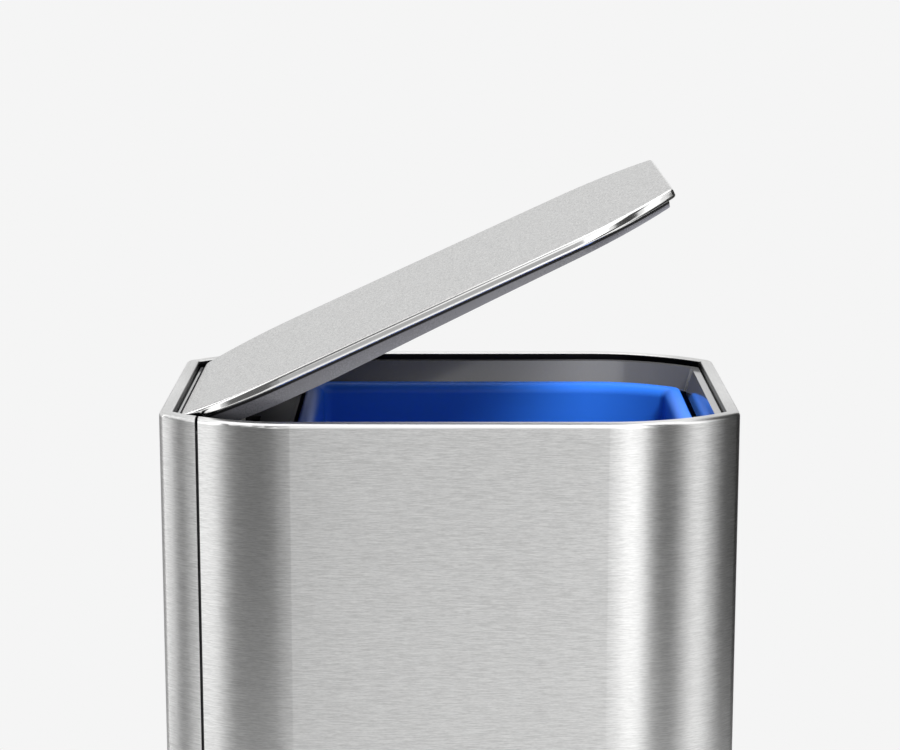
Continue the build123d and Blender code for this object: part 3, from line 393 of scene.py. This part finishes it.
@dataclass(frozen=True)
class BodySheet(BrushedSteel):
    """The body's sheet: lines run round it and along its rolled rim, whose inner half and rounded crown are polished
    and painted brighter as a painted highlight, less so towards the ends.
    """

    half_length: float = 0.210
    end_start: float = 0.113
    end_radius: float = 0.1428
    end_offset: float = 0.0128
    rim_level: float = 0.612
    polish_starts: float = 0.0048
    polish_ends: float = 0.0068
    crown_starts: float = 0.6164
    crown_ends: float = 0.6180
    # How far the polish and its painted highlight fade at the rim's ends.
    end_dulling_and_dimming: float = 0.8
    dulling_and_dimming_starts: float = 0.165
    dulling_and_dimming_ends: float = 0.190
    shadow_starts: float = 0.0092
    shadow_ends: float = 0.0098
    seam_place: float = -0.1805
    seam_half_width: float = 0.0009
    layers: tuple[tuple[float, float, float], ...] = ((0.5, 110.0, 1900.0), (0.2, 30.0, 1500.0), (0.3, 330.0, 2400.0))

    def inset(self, graph: Graph) -> Signal:
        """Distance from the body's outline in plan, growing inwards.

        The outline is straight along the middle and an arc at each end, cut off by the flat of the end.

        Args:
            graph: Graph of the material.

        Returns:
            The distance in metres.
        """
        x, y, _ = graph.axes()
        along = (abs(x) - self.end_start).highest(0.0)
        across = abs(y) + self.end_offset
        to_side = self.end_radius - (along * along + across * across) ** 0.5
        return to_side.lowest(self.half_length - abs(x))

    def lines(self, graph: Graph) -> Signal:
        """Lines at equal heights on the wall and at equal insets on the rim.

        Each layer has its share, its cells per metre along the lines and its cells per metre across them.

        Args:
            graph: Graph of the material.

        Returns:
            The layers' sum.
        """
        x, y, z = graph.axes()
        level = z - self.inset(graph)
        first, second, third = (
            graph.noise_at(
                graph.node("ShaderNodeCombineXYZ", inputs={0: x * along, 1: y * along, 2: level * across}), detail=1.0
            )
            * share
            for share, along, across in self.layers
        )
        return first + second + third

    def polish_and_highlight(self, graph: Graph) -> Signal:
        """The rim's rounded crown and its turned-in edge, polished and painted brighter as a highlight, fading towards
        the ends.

        Args:
            graph: Graph of the material.

        Returns:
            The share of polish and painted highlight.
        """
        x, _, z = graph.axes()
        turned_in = self.inset(graph).ramp(self.polish_starts, self.polish_ends)
        inner = turned_in * z.ramp(self.rim_level, self.rim_level + MM)
        # Polish and the painted highlight fade towards the rim's ends.
        along = 1.0 - abs(x).ramp(self.dulling_and_dimming_starts, self.dulling_and_dimming_ends) * self.end_dulling_and_dimming
        return inner.highest(z.ramp(self.crown_starts, self.crown_ends)) * along

    def painted_shade(self, graph: Graph) -> Signal:
        """Painted shade on the rim's turned-in edge, down in the groove beside the collar, and along the edges of the
        seam's gap.

        Args:
            graph: Graph of the material.

        Returns:
            The share of painted shade.
        """
        x, _, z = graph.axes()
        # Painted shade: the groove beside the collar and the seam's gap are painted near black.
        inside = self.inset(graph).ramp(self.shadow_starts, self.shadow_ends)
        edge = inside * z.ramp(self.rim_level - 6 * MM, self.rim_level - 5 * MM)
        seam = 1.0 - abs(x - self.seam_place).ramp(self.seam_half_width, self.seam_half_width + 0.4 * MM)
        return edge.highest(seam)


def height_on_lid(graph: Graph) -> Signal:
    """Distance above the hinge's axis, square to the lid.

    Args:
        graph: Graph of the material.

    Returns:
        The distance in metres.
    """
    x, _, z = graph.axes()
    turn = math.radians(LID_ANGLE)
    return (z - LID_HINGE[1]) * math.cos(turn) - (x - LID_HINGE[0]) * math.sin(turn)


@dataclass(frozen=True)
class LidSheet(BrushedSteel):
    """The lid's sheet: a fine speckle on top, and a polished edge and skirt that are painted brighter as a painted
    highlight.
    """

    polish_starts: float = 0.0063
    polish_ends: float = 0.0056
    speckles_per_metre: float = 1000.0

    def lines(self, graph: Graph) -> Signal:
        """Speckle with no direction.

        Args:
            graph: Graph of the material.

        Returns:
            Fine grain over a coarser one.
        """
        fine = graph.noise((self.speckles_per_metre,) * 3, detail=1.0)
        coarse = graph.noise((self.speckles_per_metre / 2.5,) * 3, detail=2.0)
        return fine * 0.7 + coarse * 0.3

    def polish_and_highlight(self, graph: Graph) -> Signal:
        """Everything below the lid's top, measured square to it.

        Args:
            graph: Graph of the material.

        Returns:
            The share of polish and painted highlight.
        """
        return 1.0 - height_on_lid(graph).ramp(self.polish_ends, self.polish_starts)


@dataclass(frozen=True)
class MouldedPlastic(Finish):
    """Moulded plastic: an even colour with flow marks, and a smooth or spark-eroded surface."""

    roughness: float = 0.35
    texture: float = 900.0
    texture_depth: float = 0.00001
    mottle: float = 0.06
    gloss: float = 0.5
    coat: float = 0.0
    coat_roughness: float = 0.08
    cloud_share: float = 0.1
    grain_share: float = 0.06
    dust_share: float = 0.12

    def describe(self, graph: Graph) -> dict[str | int, Value]:
        """Fine grain gives height, and slow clouds vary colour and roughness.

        Args:
            graph: Graph of the material.

        Returns:
            Inputs of the surface shader.
        """
        grain = graph.noise((self.texture,) * 3, detail=2.0)
        cloud = graph.noise((11.0, 11.0, 7.0), detail=4.0, roughness=0.6)
        dust = graph.noise((2600.0, 2600.0, 2600.0), detail=0.0).ramp(0.68, 0.78)
        colour = graph.shade(cloud, tint(self.colour, 1 - self.mottle), tint(self.colour, 1 + self.mottle))
        middle = (self.cloud_share + self.grain_share) / 2
        uneven = cloud * self.cloud_share + grain * self.grain_share + dust * self.dust_share
        return {
            "Base Color": colour,
            "Roughness": uneven + (self.roughness - middle),
            "Specular IOR Level": self.gloss,
            "Coat Weight": self.coat,
            "Coat Roughness": self.coat_roughness,
            "Normal": graph.bump(grain, self.texture_depth),
        }


@dataclass(frozen=True)
class LinerMoulding(MouldedPlastic):
    """The liner's plastic, with painted shade in the narrow groove along the lid's skirt."""

    groove_bottom: float = -0.0037
    groove_top: float = -0.0031
    groove_roughness: float = 0.9

    def describe(self, graph: Graph) -> dict[str | int, Value]:
        """The plain moulding with its top edge painted dark, as painted shade in the groove.

        Args:
            graph: Graph of the material.

        Returns:
            Inputs of the surface shader.
        """
        inputs = super().describe(graph)
        # Painted shade: the band just under the skirt is painted near black and matt.
        painted_shade = height_on_lid(graph).ramp(self.groove_bottom, self.groove_top)
        inputs["Base Color"] = graph.shade(painted_shade, inputs["Base Color"], PAINTED_SHADE_COLOUR)
        inputs["Coat Weight"] = (1.0 - painted_shade) * self.coat
        inputs["Roughness"] = inputs["Roughness"].highest(painted_shade * self.groove_roughness)
        return inputs


@dataclass(frozen=True)
class PlatedMetal(Finish):
    """Plated or ground metal: faint blotches from the bath and fine marks from the die."""

    roughness: float = 0.3
    blotch: float = 0.08
    warm: Colour = (1.0, 0.985, 0.95)
    bath_share: float = 0.14
    mark_share: float = 0.08
    mark_depth: float = 0.000006

    def describe(self, graph: Graph) -> dict[str | int, Value]:
        """Blotches vary colour and roughness, and fine marks give height.

        Args:
            graph: Graph of the material.

        Returns:
            Inputs of the surface shader.
        """
        bath = graph.noise((38.0, 38.0, 38.0), detail=5.0, roughness=0.6)
        marks = graph.noise((1500.0, 300.0, 1500.0), detail=2.0)
        warm = tuple(part * share for part, share in zip(self.colour, self.warm))
        colour = graph.shade(bath.ramp(0.35, 0.65), tint(self.colour, 1 - self.blotch), tint(warm, 1 + self.blotch))
        middle = (self.bath_share + self.mark_share) / 2
        return {
            "Base Color": colour,
            "Metallic": 1.0,
            "Roughness": bath * self.bath_share + marks * self.mark_share + (self.roughness - middle),
            "Normal": graph.bump(marks, self.mark_depth),
        }


@dataclass(frozen=True)
class SoftRubber(Finish):
    """Black rubber with a dusty bloom on it."""

    roughness: float = 0.7
    gloss: float = 0.35
    bloom_gain: float = 1.7
    bloom_share: float = 0.15
    grain_share: float = 0.1
    grain_depth: float = 0.00003

    def describe(self, graph: Graph) -> dict[str | int, Value]:
        """A pale bloom comes and goes over a finely grained surface.

        Args:
            graph: Graph of the material.

        Returns:
            Inputs of the surface shader.
        """
        bloom = graph.noise((60.0, 60.0, 60.0), detail=5.0, roughness=0.7).ramp(0.4, 0.75)
        grain = graph.noise((1400.0, 1400.0, 1400.0), detail=2.0)
        return {
            "Base Color": graph.shade(bloom, self.colour, tint(self.colour, self.bloom_gain)),
            "Roughness": bloom * self.bloom_share + grain * self.grain_share + (self.roughness - self.grain_share),
            "Specular IOR Level": self.gloss,
            "Normal": graph.bump(grain, self.grain_depth),
        }


def grid_mesh(name: str, points: np.ndarray, closed_u: bool = False) -> bpy.types.Mesh:
    """Mesh of a surface given on a grid of two parameters.

    Neighbouring grid points are joined into quads: the corner of row i and column j is joined to rows i and i + 1
    and columns j and j + 1. Columns wrap round where closed_u is set.

    Args:
        name: Name of the mesh.
        points: Array of shape (rows, columns, 3).
        closed_u: Join the last column to the first.

    Returns:
        The mesh, shaded smooth.
    """
    rows, columns, _ = points.shape
    wrap = columns if closed_u else columns - 1
    row, column = np.meshgrid(np.arange(rows - 1), np.arange(wrap), indexing="ij")
    after = (column + 1) % columns
    quads = np.stack(
        [row * columns + column, row * columns + after, (row + 1) * columns + after, (row + 1) * columns + column], -1
    ).reshape(-1, 4)
    mesh = bpy.data.meshes.new(name)
    mesh.from_pydata(points.reshape(-1, 3).tolist(), [], quads.tolist())
    mesh.polygons.foreach_set("use_smooth", np.ones(len(mesh.polygons), bool))
    mesh.update()
    return mesh


def shown(mesh: bpy.types.Mesh, material: bpy.types.Material) -> bpy.types.Object:
    """Put a mesh into the scene under its own name.

    Args:
        mesh: The mesh.
        material: Its only material.

    Returns:
        The new object, at the origin.
    """
    made = bpy.data.objects.new(mesh.name, mesh)
    made.data.materials.append(material)
    bpy.context.scene.collection.objects.link(made)
    return made


def dress(nodes: Mapping[str, bpy.types.Object], names: Sequence[str], finish: Finish) -> None:
    """Give some CAD nodes one finish.

    Args:
        nodes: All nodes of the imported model, by name.
        names: The nodes to dress.
        finish: Their finish.
    """
    material = finish.material()
    for name in names:
        slots = nodes[name].data.materials
        slots.clear()
        slots.append(material)
        log.info("dressed %s in %s", name, finish.name)


@dataclass
class SteelBody:
    """Front shell and rear cover with their rolled rim, and the plastic collar inside it."""

    steel: Colour = (0.63, 0.63, 0.625)
    collar: Colour = (0.125, 0.125, 0.13)

    def dress(self, nodes: Mapping[str, bpy.types.Object]) -> None:
        """Finish the sheet steel and the collar.

        Args:
            nodes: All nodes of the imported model, by name.
        """
        sheet = BodySheet(
            "body_sheet", self.steel, roughness=0.32, anisotropy=0.84, line_contrast=0.17, polished_roughness=0.28
        )
        dress(nodes, ["front_shell", "rear_cover"], sheet)
        dress(nodes, ["collar"], MouldedPlastic("collar_moulding", self.collar, roughness=0.18, gloss=0.7, coat=0.7))


@dataclass
class HingedLid:
    """Lid skin with its liner, and the hinge under it."""

    steel: Colour = (0.59, 0.59, 0.585)
    liner: Colour = (0.2, 0.2, 0.225)

    def dress(self, nodes: Mapping[str, bpy.types.Object]) -> None:
        """Finish the lid.

        Args:
            nodes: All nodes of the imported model, by name.
        """
        sheet = LidSheet("lid_sheet", self.steel, roughness=0.36, anisotropy=0.0, line_contrast=0.32)
        dress(nodes, ["lid_skin"], sheet)
        dress(nodes, ["lid_liner"], LinerMoulding("liner_moulding", self.liner, roughness=0.28, gloss=0.6, coat=0.3))
        dress(nodes, ["lid_bumpers"], SoftRubber("bumper_rubber", (0.03, 0.03, 0.03)))
        dress(nodes, ["hinge_brackets", "lid_bracket"], PlatedMetal("hinge_plating", (0.55, 0.55, 0.54)))
        pins = ["hinge_pin", "hinge_clip", "crank_pin"]
        dress(nodes, pins, PlatedMetal("pin_steel", (0.6, 0.6, 0.6), roughness=0.22))


@dataclass
class InnerBucket:
    """Lift-out plastic bucket and the deck it stands on."""

    blue: Colour = (0.028, 0.18, 0.78)
    black: Colour = (0.035, 0.035, 0.038)

    def dress(self, nodes: Mapping[str, bpy.types.Object]) -> None:
        """Finish the bucket and the black mouldings behind and under it.

        Args:
            nodes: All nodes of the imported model, by name.
        """
        dress(nodes, ["inner_bucket"], MouldedPlastic("bucket_moulding", self.blue, roughness=0.4, gloss=0.3))
        hidden = ["bucket_deck", "rear_frame", "rear_panel", "rear_deck"]
        dress(nodes, hidden, MouldedPlastic("frame_moulding", self.black, roughness=0.5))


@dataclass
class Mechanism:
    """Push rod, its guides and the damper."""

    nylon: Colour = (0.7, 0.69, 0.64)
    black: Colour = (0.04, 0.04, 0.043)

    def dress(self, nodes: Mapping[str, bpy.types.Object]) -> None:
        """Finish the working parts.

        Args:
            nodes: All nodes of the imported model, by name.
        """
        dress(nodes, ["push_rod", "pivot_bracket", "pedal_lever"], PlatedMetal("zinc_plating", (0.56, 0.56, 0.55)))
        bright = ["pivot_pin", "pivot_clip", "damper_rod"]
        dress(nodes, bright, PlatedMetal("bright_steel", (0.6, 0.6, 0.6), roughness=0.2))
        white = ["rod_yoke", "rod_foot", "tail_shoe", "pivot_bushes", "damper_cap", "damper_link"]
        dress(nodes, white, MouldedPlastic("natural_nylon", self.nylon, roughness=0.45, mottle=0.03))
        black = ["upper_rod_guide", "lower_rod_guide", "damper_bracket"]
        dress(nodes, black, MouldedPlastic("guide_moulding", self.black, roughness=0.5))
        dress(nodes, ["damper_cylinder"], PlatedMetal("drawn_aluminium", (0.62, 0.63, 0.64), roughness=0.32))
        dress(nodes, ["damper_piston"], SoftRubber("piston_rubber", (0.03, 0.03, 0.03)))


@dataclass
class BaseAndPedal:
    """Base tray, its feet, and the pedal's tread."""

    black: Colour = (0.035, 0.035, 0.037)

    def dress(self, nodes: Mapping[str, bpy.types.Object]) -> None:
        """Finish the base and the tread.

        Args:
            nodes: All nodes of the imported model, by name.
        """
        textured = MouldedPlastic("base_moulding", self.black, roughness=0.5, texture=650.0, texture_depth=0.00004)
        dress(nodes, ["base_tray"], textured)
        dress(nodes, ["feet", "tread_pad"], SoftRubber("black_rubber", (0.028, 0.028, 0.028)))
        tread = BrushedSteel("tread_sheet", (0.6, 0.6, 0.595), roughness=0.33, anisotropy=0.4)
        dress(nodes, ["pedal_tread"], tread)


class Axis(Enum):
    """Direction in which a fastener's head faces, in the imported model."""

    UP = (0.0, 0.0, 1.0)
    DOWN = (0.0, 0.0, -1.0)
    BACK = (-1.0, 0.0, 0.0)


def islands(mesh: bpy.types.Mesh) -> list[np.ndarray]:
    """Points of each separate solid of a mesh.

    Args:
        mesh: Mesh of one or more closed solids.

    Returns:
        One array of points per solid.
    """
    points = np.empty(len(mesh.vertices) * 3)
    mesh.vertices.foreach_get("co", points)
    points = points.reshape(-1, 3)
    _, same = np.unique(np.round(points, 6), axis=0, return_inverse=True)
    group = np.arange(same.max() + 1)
    ends = np.empty(len(mesh.edges) * 2, int)
    mesh.edges.foreach_get("vertices", ends)
    first, second = same.ravel()[ends.reshape(-1, 2)].T
    settled = False
    while not settled:
        lowest = np.minimum(group[first], group[second])
        before = group.copy()
        np.minimum.at(group, first, lowest)
        np.minimum.at(group, second, lowest)
        settled = bool((group == before).all())
    owner = group[same.ravel()]
    return [points[owner == each] for each in np.unique(owner)]


@dataclass(frozen=True)
class ScrewShape:
    """A pan-head screw with a cross recess and a thread, as a surface turned about its axis.

    A point of the surface is given by its row along the outline and its turn round the axis. The outline runs from the
    point of the shank up the thread, under the head, up its side and over its dome to the middle. On the shank the
    radius falls and rises by half the thread's depth times the cosine of turn plus height over pitch. On the dome the
    surface sinks by the recess's depth within a cross of two bars, eased over the bar's edge and the cross's reach.
    """

    head_radius: float = 3.8 * MM
    head_height: float = 1.5 * MM
    shank_radius: float = 2.0 * MM
    thread_depth: float = 0.35 * MM
    thread_pitch: float = 1.4 * MM
    recess_depth: float = 0.9 * MM
    recess_reach: float = 2.2 * MM
    recess_half_width: float = 0.45 * MM
    recess_edge: tuple[float, float] = (0.9, 1.5)
    recess_end: float = 0.8 * MM
    side_share: float = 0.45
    turns_round: int = 64
    rows_per_pitch: int = 8

    def dome(self, radius: np.ndarray) -> np.ndarray:
        """Height of the head's top above its seat, without the recess: a flat arch that stands on the head's side."""
        arch = np.sqrt(np.clip(1 - (radius / self.head_radius) ** 2, 0, 1))
        return self.head_height * (self.side_share + (1 - self.side_share) * arch)

    def recess(self, radius: np.ndarray, turn: np.ndarray) -> np.ndarray:
        """Depth of the cross below the dome; the edge is given in half widths of a bar."""
        across = np.minimum(abs(radius * np.cos(turn)), abs(radius * np.sin(turn)))
        deep, gone = (share * self.recess_half_width for share in self.recess_edge)
        bar = np.clip((gone - across) / (gone - deep), 0, 1)
        reach = np.clip((self.recess_reach - radius) / self.recess_end, 0, 1)
        return self.recess_depth * bar * reach

    def points(self, shank_length: float) -> np.ndarray:
        """Grid of the screw, standing on its seat with its head up.

        Args:
            shank_length: Length of the shank below the head.

        Returns:
            Array of shape (rows, turns, 3).
        """
        turn = np.linspace(0, 2 * math.pi, self.turns_round, endpoint=False)[None, :]
        rows = max(int(shank_length / self.thread_pitch * self.rows_per_pitch), 8)
        level = np.linspace(-shank_length, 0, rows)[:, None]
        taper = np.clip((level + shank_length) / (1.2 * self.shank_radius), 0, 1) ** 0.7
        wave = self.thread_depth * (0.5 + 0.5 * np.cos(turn + 2 * math.pi * level / self.thread_pitch))
        neck = np.clip(-level / self.thread_pitch, 0, 1)
        shank = (self.shank_radius - wave * neck) * np.maximum(taper, 0.002)
        side = np.linspace(0.0, self.side_share * self.head_height, 4)[:, None]
        over = np.linspace(1.0, 0.0005, 40)[:, None] * self.head_radius * np.ones_like(turn)
        top = self.dome(over) - self.recess(over, turn)
        radius = np.concatenate([shank, self.head_radius * np.ones_like(side * turn), over])
        height = np.concatenate([level * np.ones_like(turn), side * np.ones_like(turn), top])
        return np.stack([radius * np.cos(turn), radius * np.sin(turn), height], -1)


@dataclass(frozen=True)
class ScrewGroup:
    """A CAD node of equal screws whose heads face the same way."""

    node: str
    body: str
    faces: Axis


@dataclass
class Fasteners:
    """Screws with cross recesses and threads in the CAD screws' places, and the rivets."""

    shape: ScrewShape = field(default_factory=ScrewShape)
    groups: Sequence[ScrewGroup] = (
        ScrewGroup("cover_screws", "root", Axis.BACK),
        ScrewGroup("deck_screws", "root", Axis.DOWN),
        ScrewGroup("hinge_screws", "root", Axis.UP),
        ScrewGroup("guide_screws", "root", Axis.BACK),
        ScrewGroup("pivot_screws", "root", Axis.UP),
    )

    def dress(self, nodes: Mapping[str, bpy.types.Object]) -> None:
        """Replace the screws and finish the fasteners that stay.

        Args:
            nodes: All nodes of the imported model, by name.
        """
        plating = PlatedMetal("fastener_plating", (0.52, 0.52, 0.52), roughness=0.26)
        material = plating.material()
        for group in self.groups:
            for number, solid in enumerate(islands(nodes[group.node].data)):
                self._screw(group, number, solid, material)
        replaced = {group.node for group in self.groups}
        names = [name for name in nodes if name.endswith(("_screws", "_rivets")) and name not in replaced]
        dress(nodes, names, plating)

    def _screw(self, group: ScrewGroup, number: int, solid: np.ndarray, material: bpy.types.Material) -> None:
        """Put one finer screw in the place of a CAD screw.

        Args:
            group: The screw's group.
            number: Its number within the group.
            solid: Points of the CAD screw.
            material: Its material.
        """
        axis = np.array(group.faces.value)
        low, high = solid.min(0), solid.max(0)
        along = solid @ axis
        length = along.max() - along.min() - self.shape.head_height
        seat = (low + high) / 2
        seat = seat + axis * (along.max() - self.shape.head_height - seat @ axis)
        side = np.array((0.0, 1.0, 0.0))
        points = self.shape.points(length) @ np.stack([side, np.cross(axis, side), axis]) + seat
        piece = shown(grid_mesh(f"{group.node}_{number}", points, closed_u=True), material)
        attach(piece, group.body)
        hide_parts(group.node)


class PanelKind(Enum):
    """What stands round the object in the studio."""

    SOFTBOX = "softbox"
    FLAG = "flag"


@dataclass(frozen=True)
class Panel:
    """A tall panel on a circle round the object, from one bearing to another.

    Bearings are in degrees from the camera's side, growing towards the pedal.
    """

    name: str
    kind: PanelKind
    start: float
    end: float
    level: float
    radius: float = 0.95
    bottom: float = -0.25
    top: float = 1.75

    def corner(self, bearing: float, height: float) -> tuple[float, float, float]:
        """A point of the panel's circle.

        Args:
            bearing: Bearing in degrees.
            height: Height above the floor.

        Returns:
            The point.
        """
        turned = math.radians(bearing)
        return (self.radius * math.sin(turned), -self.radius * math.cos(turned), height)


@dataclass
class Studio:
    """Floor, surroundings, lamps and camera."""

    background: float = 0.913
    soft_level: float = 0.3
    key_bearing: float = 50.0
    key_elevation: float = 54.0
    key_distance: float = 1.6
    key_size: float = 0.5
    key_power: float = 38.0
    rim_height: float = 0.62
    ceiling_height: float = 2.3
    ceiling_size: float = 1.6
    ceiling_level: float = 0.9
    floor_colour: Colour = (0.72, 0.72, 0.72)
    floor_radius: float = 12.0
    floor_glow: float = 0.9
    floor_glow_share: float = 0.76
    floor_edge: tuple[float, float] = (0.45, 0.95)
    camera_place: tuple[float, float, float] = (0.0003, -1.7024, 0.9952)
    camera_pitch: float = 10.723
    focal_pixels: float = 2292.1
    shift_up: float = -0.065
    sensor: float = 36.0
    panels: Sequence[Panel] = (
        Panel("left_flag", PanelKind.FLAG, -45.0, -16.0, 0.13),
        Panel("right_flag", PanelKind.FLAG, 35.0, 49.5, 0.05),
        Panel("rear_left_flag", PanelKind.FLAG, -77.0, -69.5, 0.0),
        Panel("rear_right_flag", PanelKind.FLAG, 72.5, 132.0, 0.04),
        Panel("front_box", PanelKind.SOFTBOX, 16.5, 30.0, 1.2),
        Panel("middle_box", PanelKind.SOFTBOX, -12.0, 16.5, 0.22),
        Panel("left_box", PanelKind.SOFTBOX, -64.0, -50.0, 0.95),
        Panel("left_end_box", PanelKind.SOFTBOX, -92.0, -79.0, 1.2),
        Panel("right_box", PanelKind.SOFTBOX, 55.0, 65.5, 0.7),
    )

    def build(self) -> None:
        """Make everything that isn't the object."""
        self._light_surroundings()
        self._lay_floor()
        for panel in self.panels:
            self._stand(panel)
        self._hang_ceiling()
        self._hang_key()
        self._aim_camera()

    def _seen_directly(self, graph: Graph) -> Signal:
        """1 for rays from the camera, from a mirror or through glass, and 0 for diffuse light."""
        rays = ("Camera", "Glossy", "Transmission")
        camera, glossy, through = (graph.node("ShaderNodeLightPath", output=f"Is {ray} Ray") for ray in rays)
        return camera.highest(glossy).highest(through)

    def _light_surroundings(self) -> None:
        """Pale surroundings that light the object softly."""
        world = bpy.data.worlds.new("studio_air")
        world.use_nodes = True
        graph = Graph(world.node_tree)
        strength = self._seen_directly(graph) * (self.background - self.soft_level) + self.soft_level
        surface = graph.node("ShaderNodeBackground", inputs={"Color": (1.0, 1.0, 1.0, 1.0), "Strength": strength})
        graph.node("ShaderNodeOutputWorld", inputs={"Surface": surface})
        bpy.context.scene.world = world

    def _lay_floor(self) -> None:
        """Round pale floor: radius times cosine and sine of the turn, on rings from the middle out."""
        turn = np.linspace(0, 2 * math.pi, 96, endpoint=False)
        ring = np.linspace(0.0005, self.floor_radius, 12)[:, None]
        points = np.stack([ring * np.cos(turn), ring * np.sin(turn), np.zeros((12, 96))], -1)
        material = bpy.data.materials.new("pale_floor")
        material.use_nodes = True
        graph = Graph(material.node_tree)
        matt = graph.node("ShaderNodeBsdfDiffuse", inputs={"Color": (*self.floor_colour, 1.0)})
        x, y, _ = graph.axes()
        far = ((x * x + y * y) ** 0.5).ramp(*self.floor_edge)
        level = far * (self.background - self.floor_glow) + self.floor_glow
        glow = graph.node("ShaderNodeEmission", inputs={"Color": level, "Strength": 1.0})
        direct = graph.node("ShaderNodeLightPath", output="Is Camera Ray")
        share = far * (1.0 - self.floor_glow_share) + self.floor_glow_share
        surface = graph.node("ShaderNodeMixShader", inputs={0: direct * share, 1: matt, 2: glow})
        graph.node("ShaderNodeOutputMaterial", inputs={"Surface": surface})
        shown(grid_mesh("floor", points, closed_u=True), material)

    def _stand(self, panel: Panel) -> None:
        """Stand one panel on its circle.

        Args:
            panel: A softbox, which is a lamp, or a flag, which is a dark curved sheet.
        """
        if panel.kind is PanelKind.FLAG:
            bearings = np.radians(np.linspace(panel.start, panel.end, 9))
            heights = np.linspace(panel.bottom, panel.top, 3)[:, None]
            flat = np.ones((3, 1))
            points = np.stack(
                [
                    flat * panel.radius * np.sin(bearings),
                    flat * -panel.radius * np.cos(bearings),
                    heights * np.ones(9),
                ],
                -1,
            )
            material = bpy.data.materials.new(panel.name)
            material.use_nodes = True
            graph = Graph(material.node_tree)
            glow = graph.node("ShaderNodeEmission", inputs={"Color": (1, 1, 1, 1), "Strength": panel.level})
            graph.node("ShaderNodeOutputMaterial", inputs={"Surface": glow})
            sheet = shown(grid_mesh(panel.name, points), material)
            for ray in ("camera", "diffuse", "transmission", "shadow", "volume_scatter"):
                setattr(sheet, f"visible_{ray}", False)
            return
        middle = (panel.start + panel.end) / 2
        height = panel.top - panel.bottom
        width = 2 * panel.radius * math.tan(math.radians(panel.end - panel.start) / 2)
        place = panel.corner(middle, panel.bottom + height / 2)
        energy = panel.level * math.pi * width * height
        self._hang(panel.name, (width, height), energy, place, (math.pi / 2, 0.0, math.radians(middle)))

    def _hang(
        self,
        name: str,
        size: tuple[float, float],
        energy: float,
        place: tuple[float, float, float],
        turn: tuple[float, float, float] = (0.0, 0.0, 0.0),
    ) -> bpy.types.Object:
        """Hang one rectangular lamp that the camera doesn't see.

        Args:
            name: Name of the lamp.
            size: Its width and height.
            energy: Its power in watts.
            place: Its middle.
            turn: Its turns about X, Y and Z; without any, it shines down.

        Returns:
            The lamp's object.
        """
        lamp = bpy.data.lights.new(name, "AREA")
        lamp.shape = "RECTANGLE"
        lamp.size, lamp.size_y = size
        lamp.energy = energy
        holder = bpy.data.objects.new(name, lamp)
        holder.location = place
        holder.rotation_euler = turn
        holder.visible_camera = False
        bpy.context.scene.collection.objects.link(holder)
        return holder

    def _hang_ceiling(self) -> None:
        """Softbox overhead, which whitens the rounded top edges."""
        energy = self.ceiling_level * math.pi * self.ceiling_size**2
        self._hang("ceiling", (self.ceiling_size, self.ceiling_size), energy, (0.0, 0.0, self.ceiling_height))

    def _hang_key(self) -> None:
        """Lamp high on the pedal's side, which reaches under the open lid; mirrors don't show it."""
        bearing, elevation = math.radians(self.key_bearing), math.radians(self.key_elevation)
        level = self.key_distance * math.cos(elevation)
        height = self.rim_height + self.key_distance * math.sin(elevation)
        place = (level * math.sin(bearing), -level * math.cos(bearing), height)
        turn = (math.pi / 2 - elevation, 0.0, bearing)
        lamp = self._hang("key", (self.key_size, self.key_size), self.key_power, place, turn)
        lamp.visible_glossy = False

    def _aim_camera(self) -> None:
        """Camera at the photograph's place, looking along +Y and a little down."""
        lens = bpy.data.cameras.new("photograph")
        lens.sensor_width = self.sensor
        lens.lens = self.sensor * self.focal_pixels / FRAME_WIDTH
        lens.shift_y = self.shift_up
        lens.clip_start = 0.01
        lens.clip_end = 100.0
        camera = bpy.data.objects.new("photograph", lens)
        camera.location = self.camera_place
        camera.rotation_euler = (math.radians(90.0 - self.camera_pitch), 0.0, 0.0)
        bpy.context.scene.collection.objects.link(camera)
        bpy.context.scene.camera = camera
        bpy.context.scene.view_settings.view_transform = "Standard"


def main() -> None:
    """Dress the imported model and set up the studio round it."""
    logging.basicConfig(level=logging.INFO, format="%(name)s: %(message)s")
    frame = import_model()
    Studio().build()
    nodes = frame["nodes"]
    for part in (SteelBody(), HingedLid(), InnerBucket(), Mechanism(), BaseAndPedal(), Fasteners()):
        part.dress(nodes)
        log.info("finished %s", type(part).__name__)


if __name__ == "__main__":
    main()
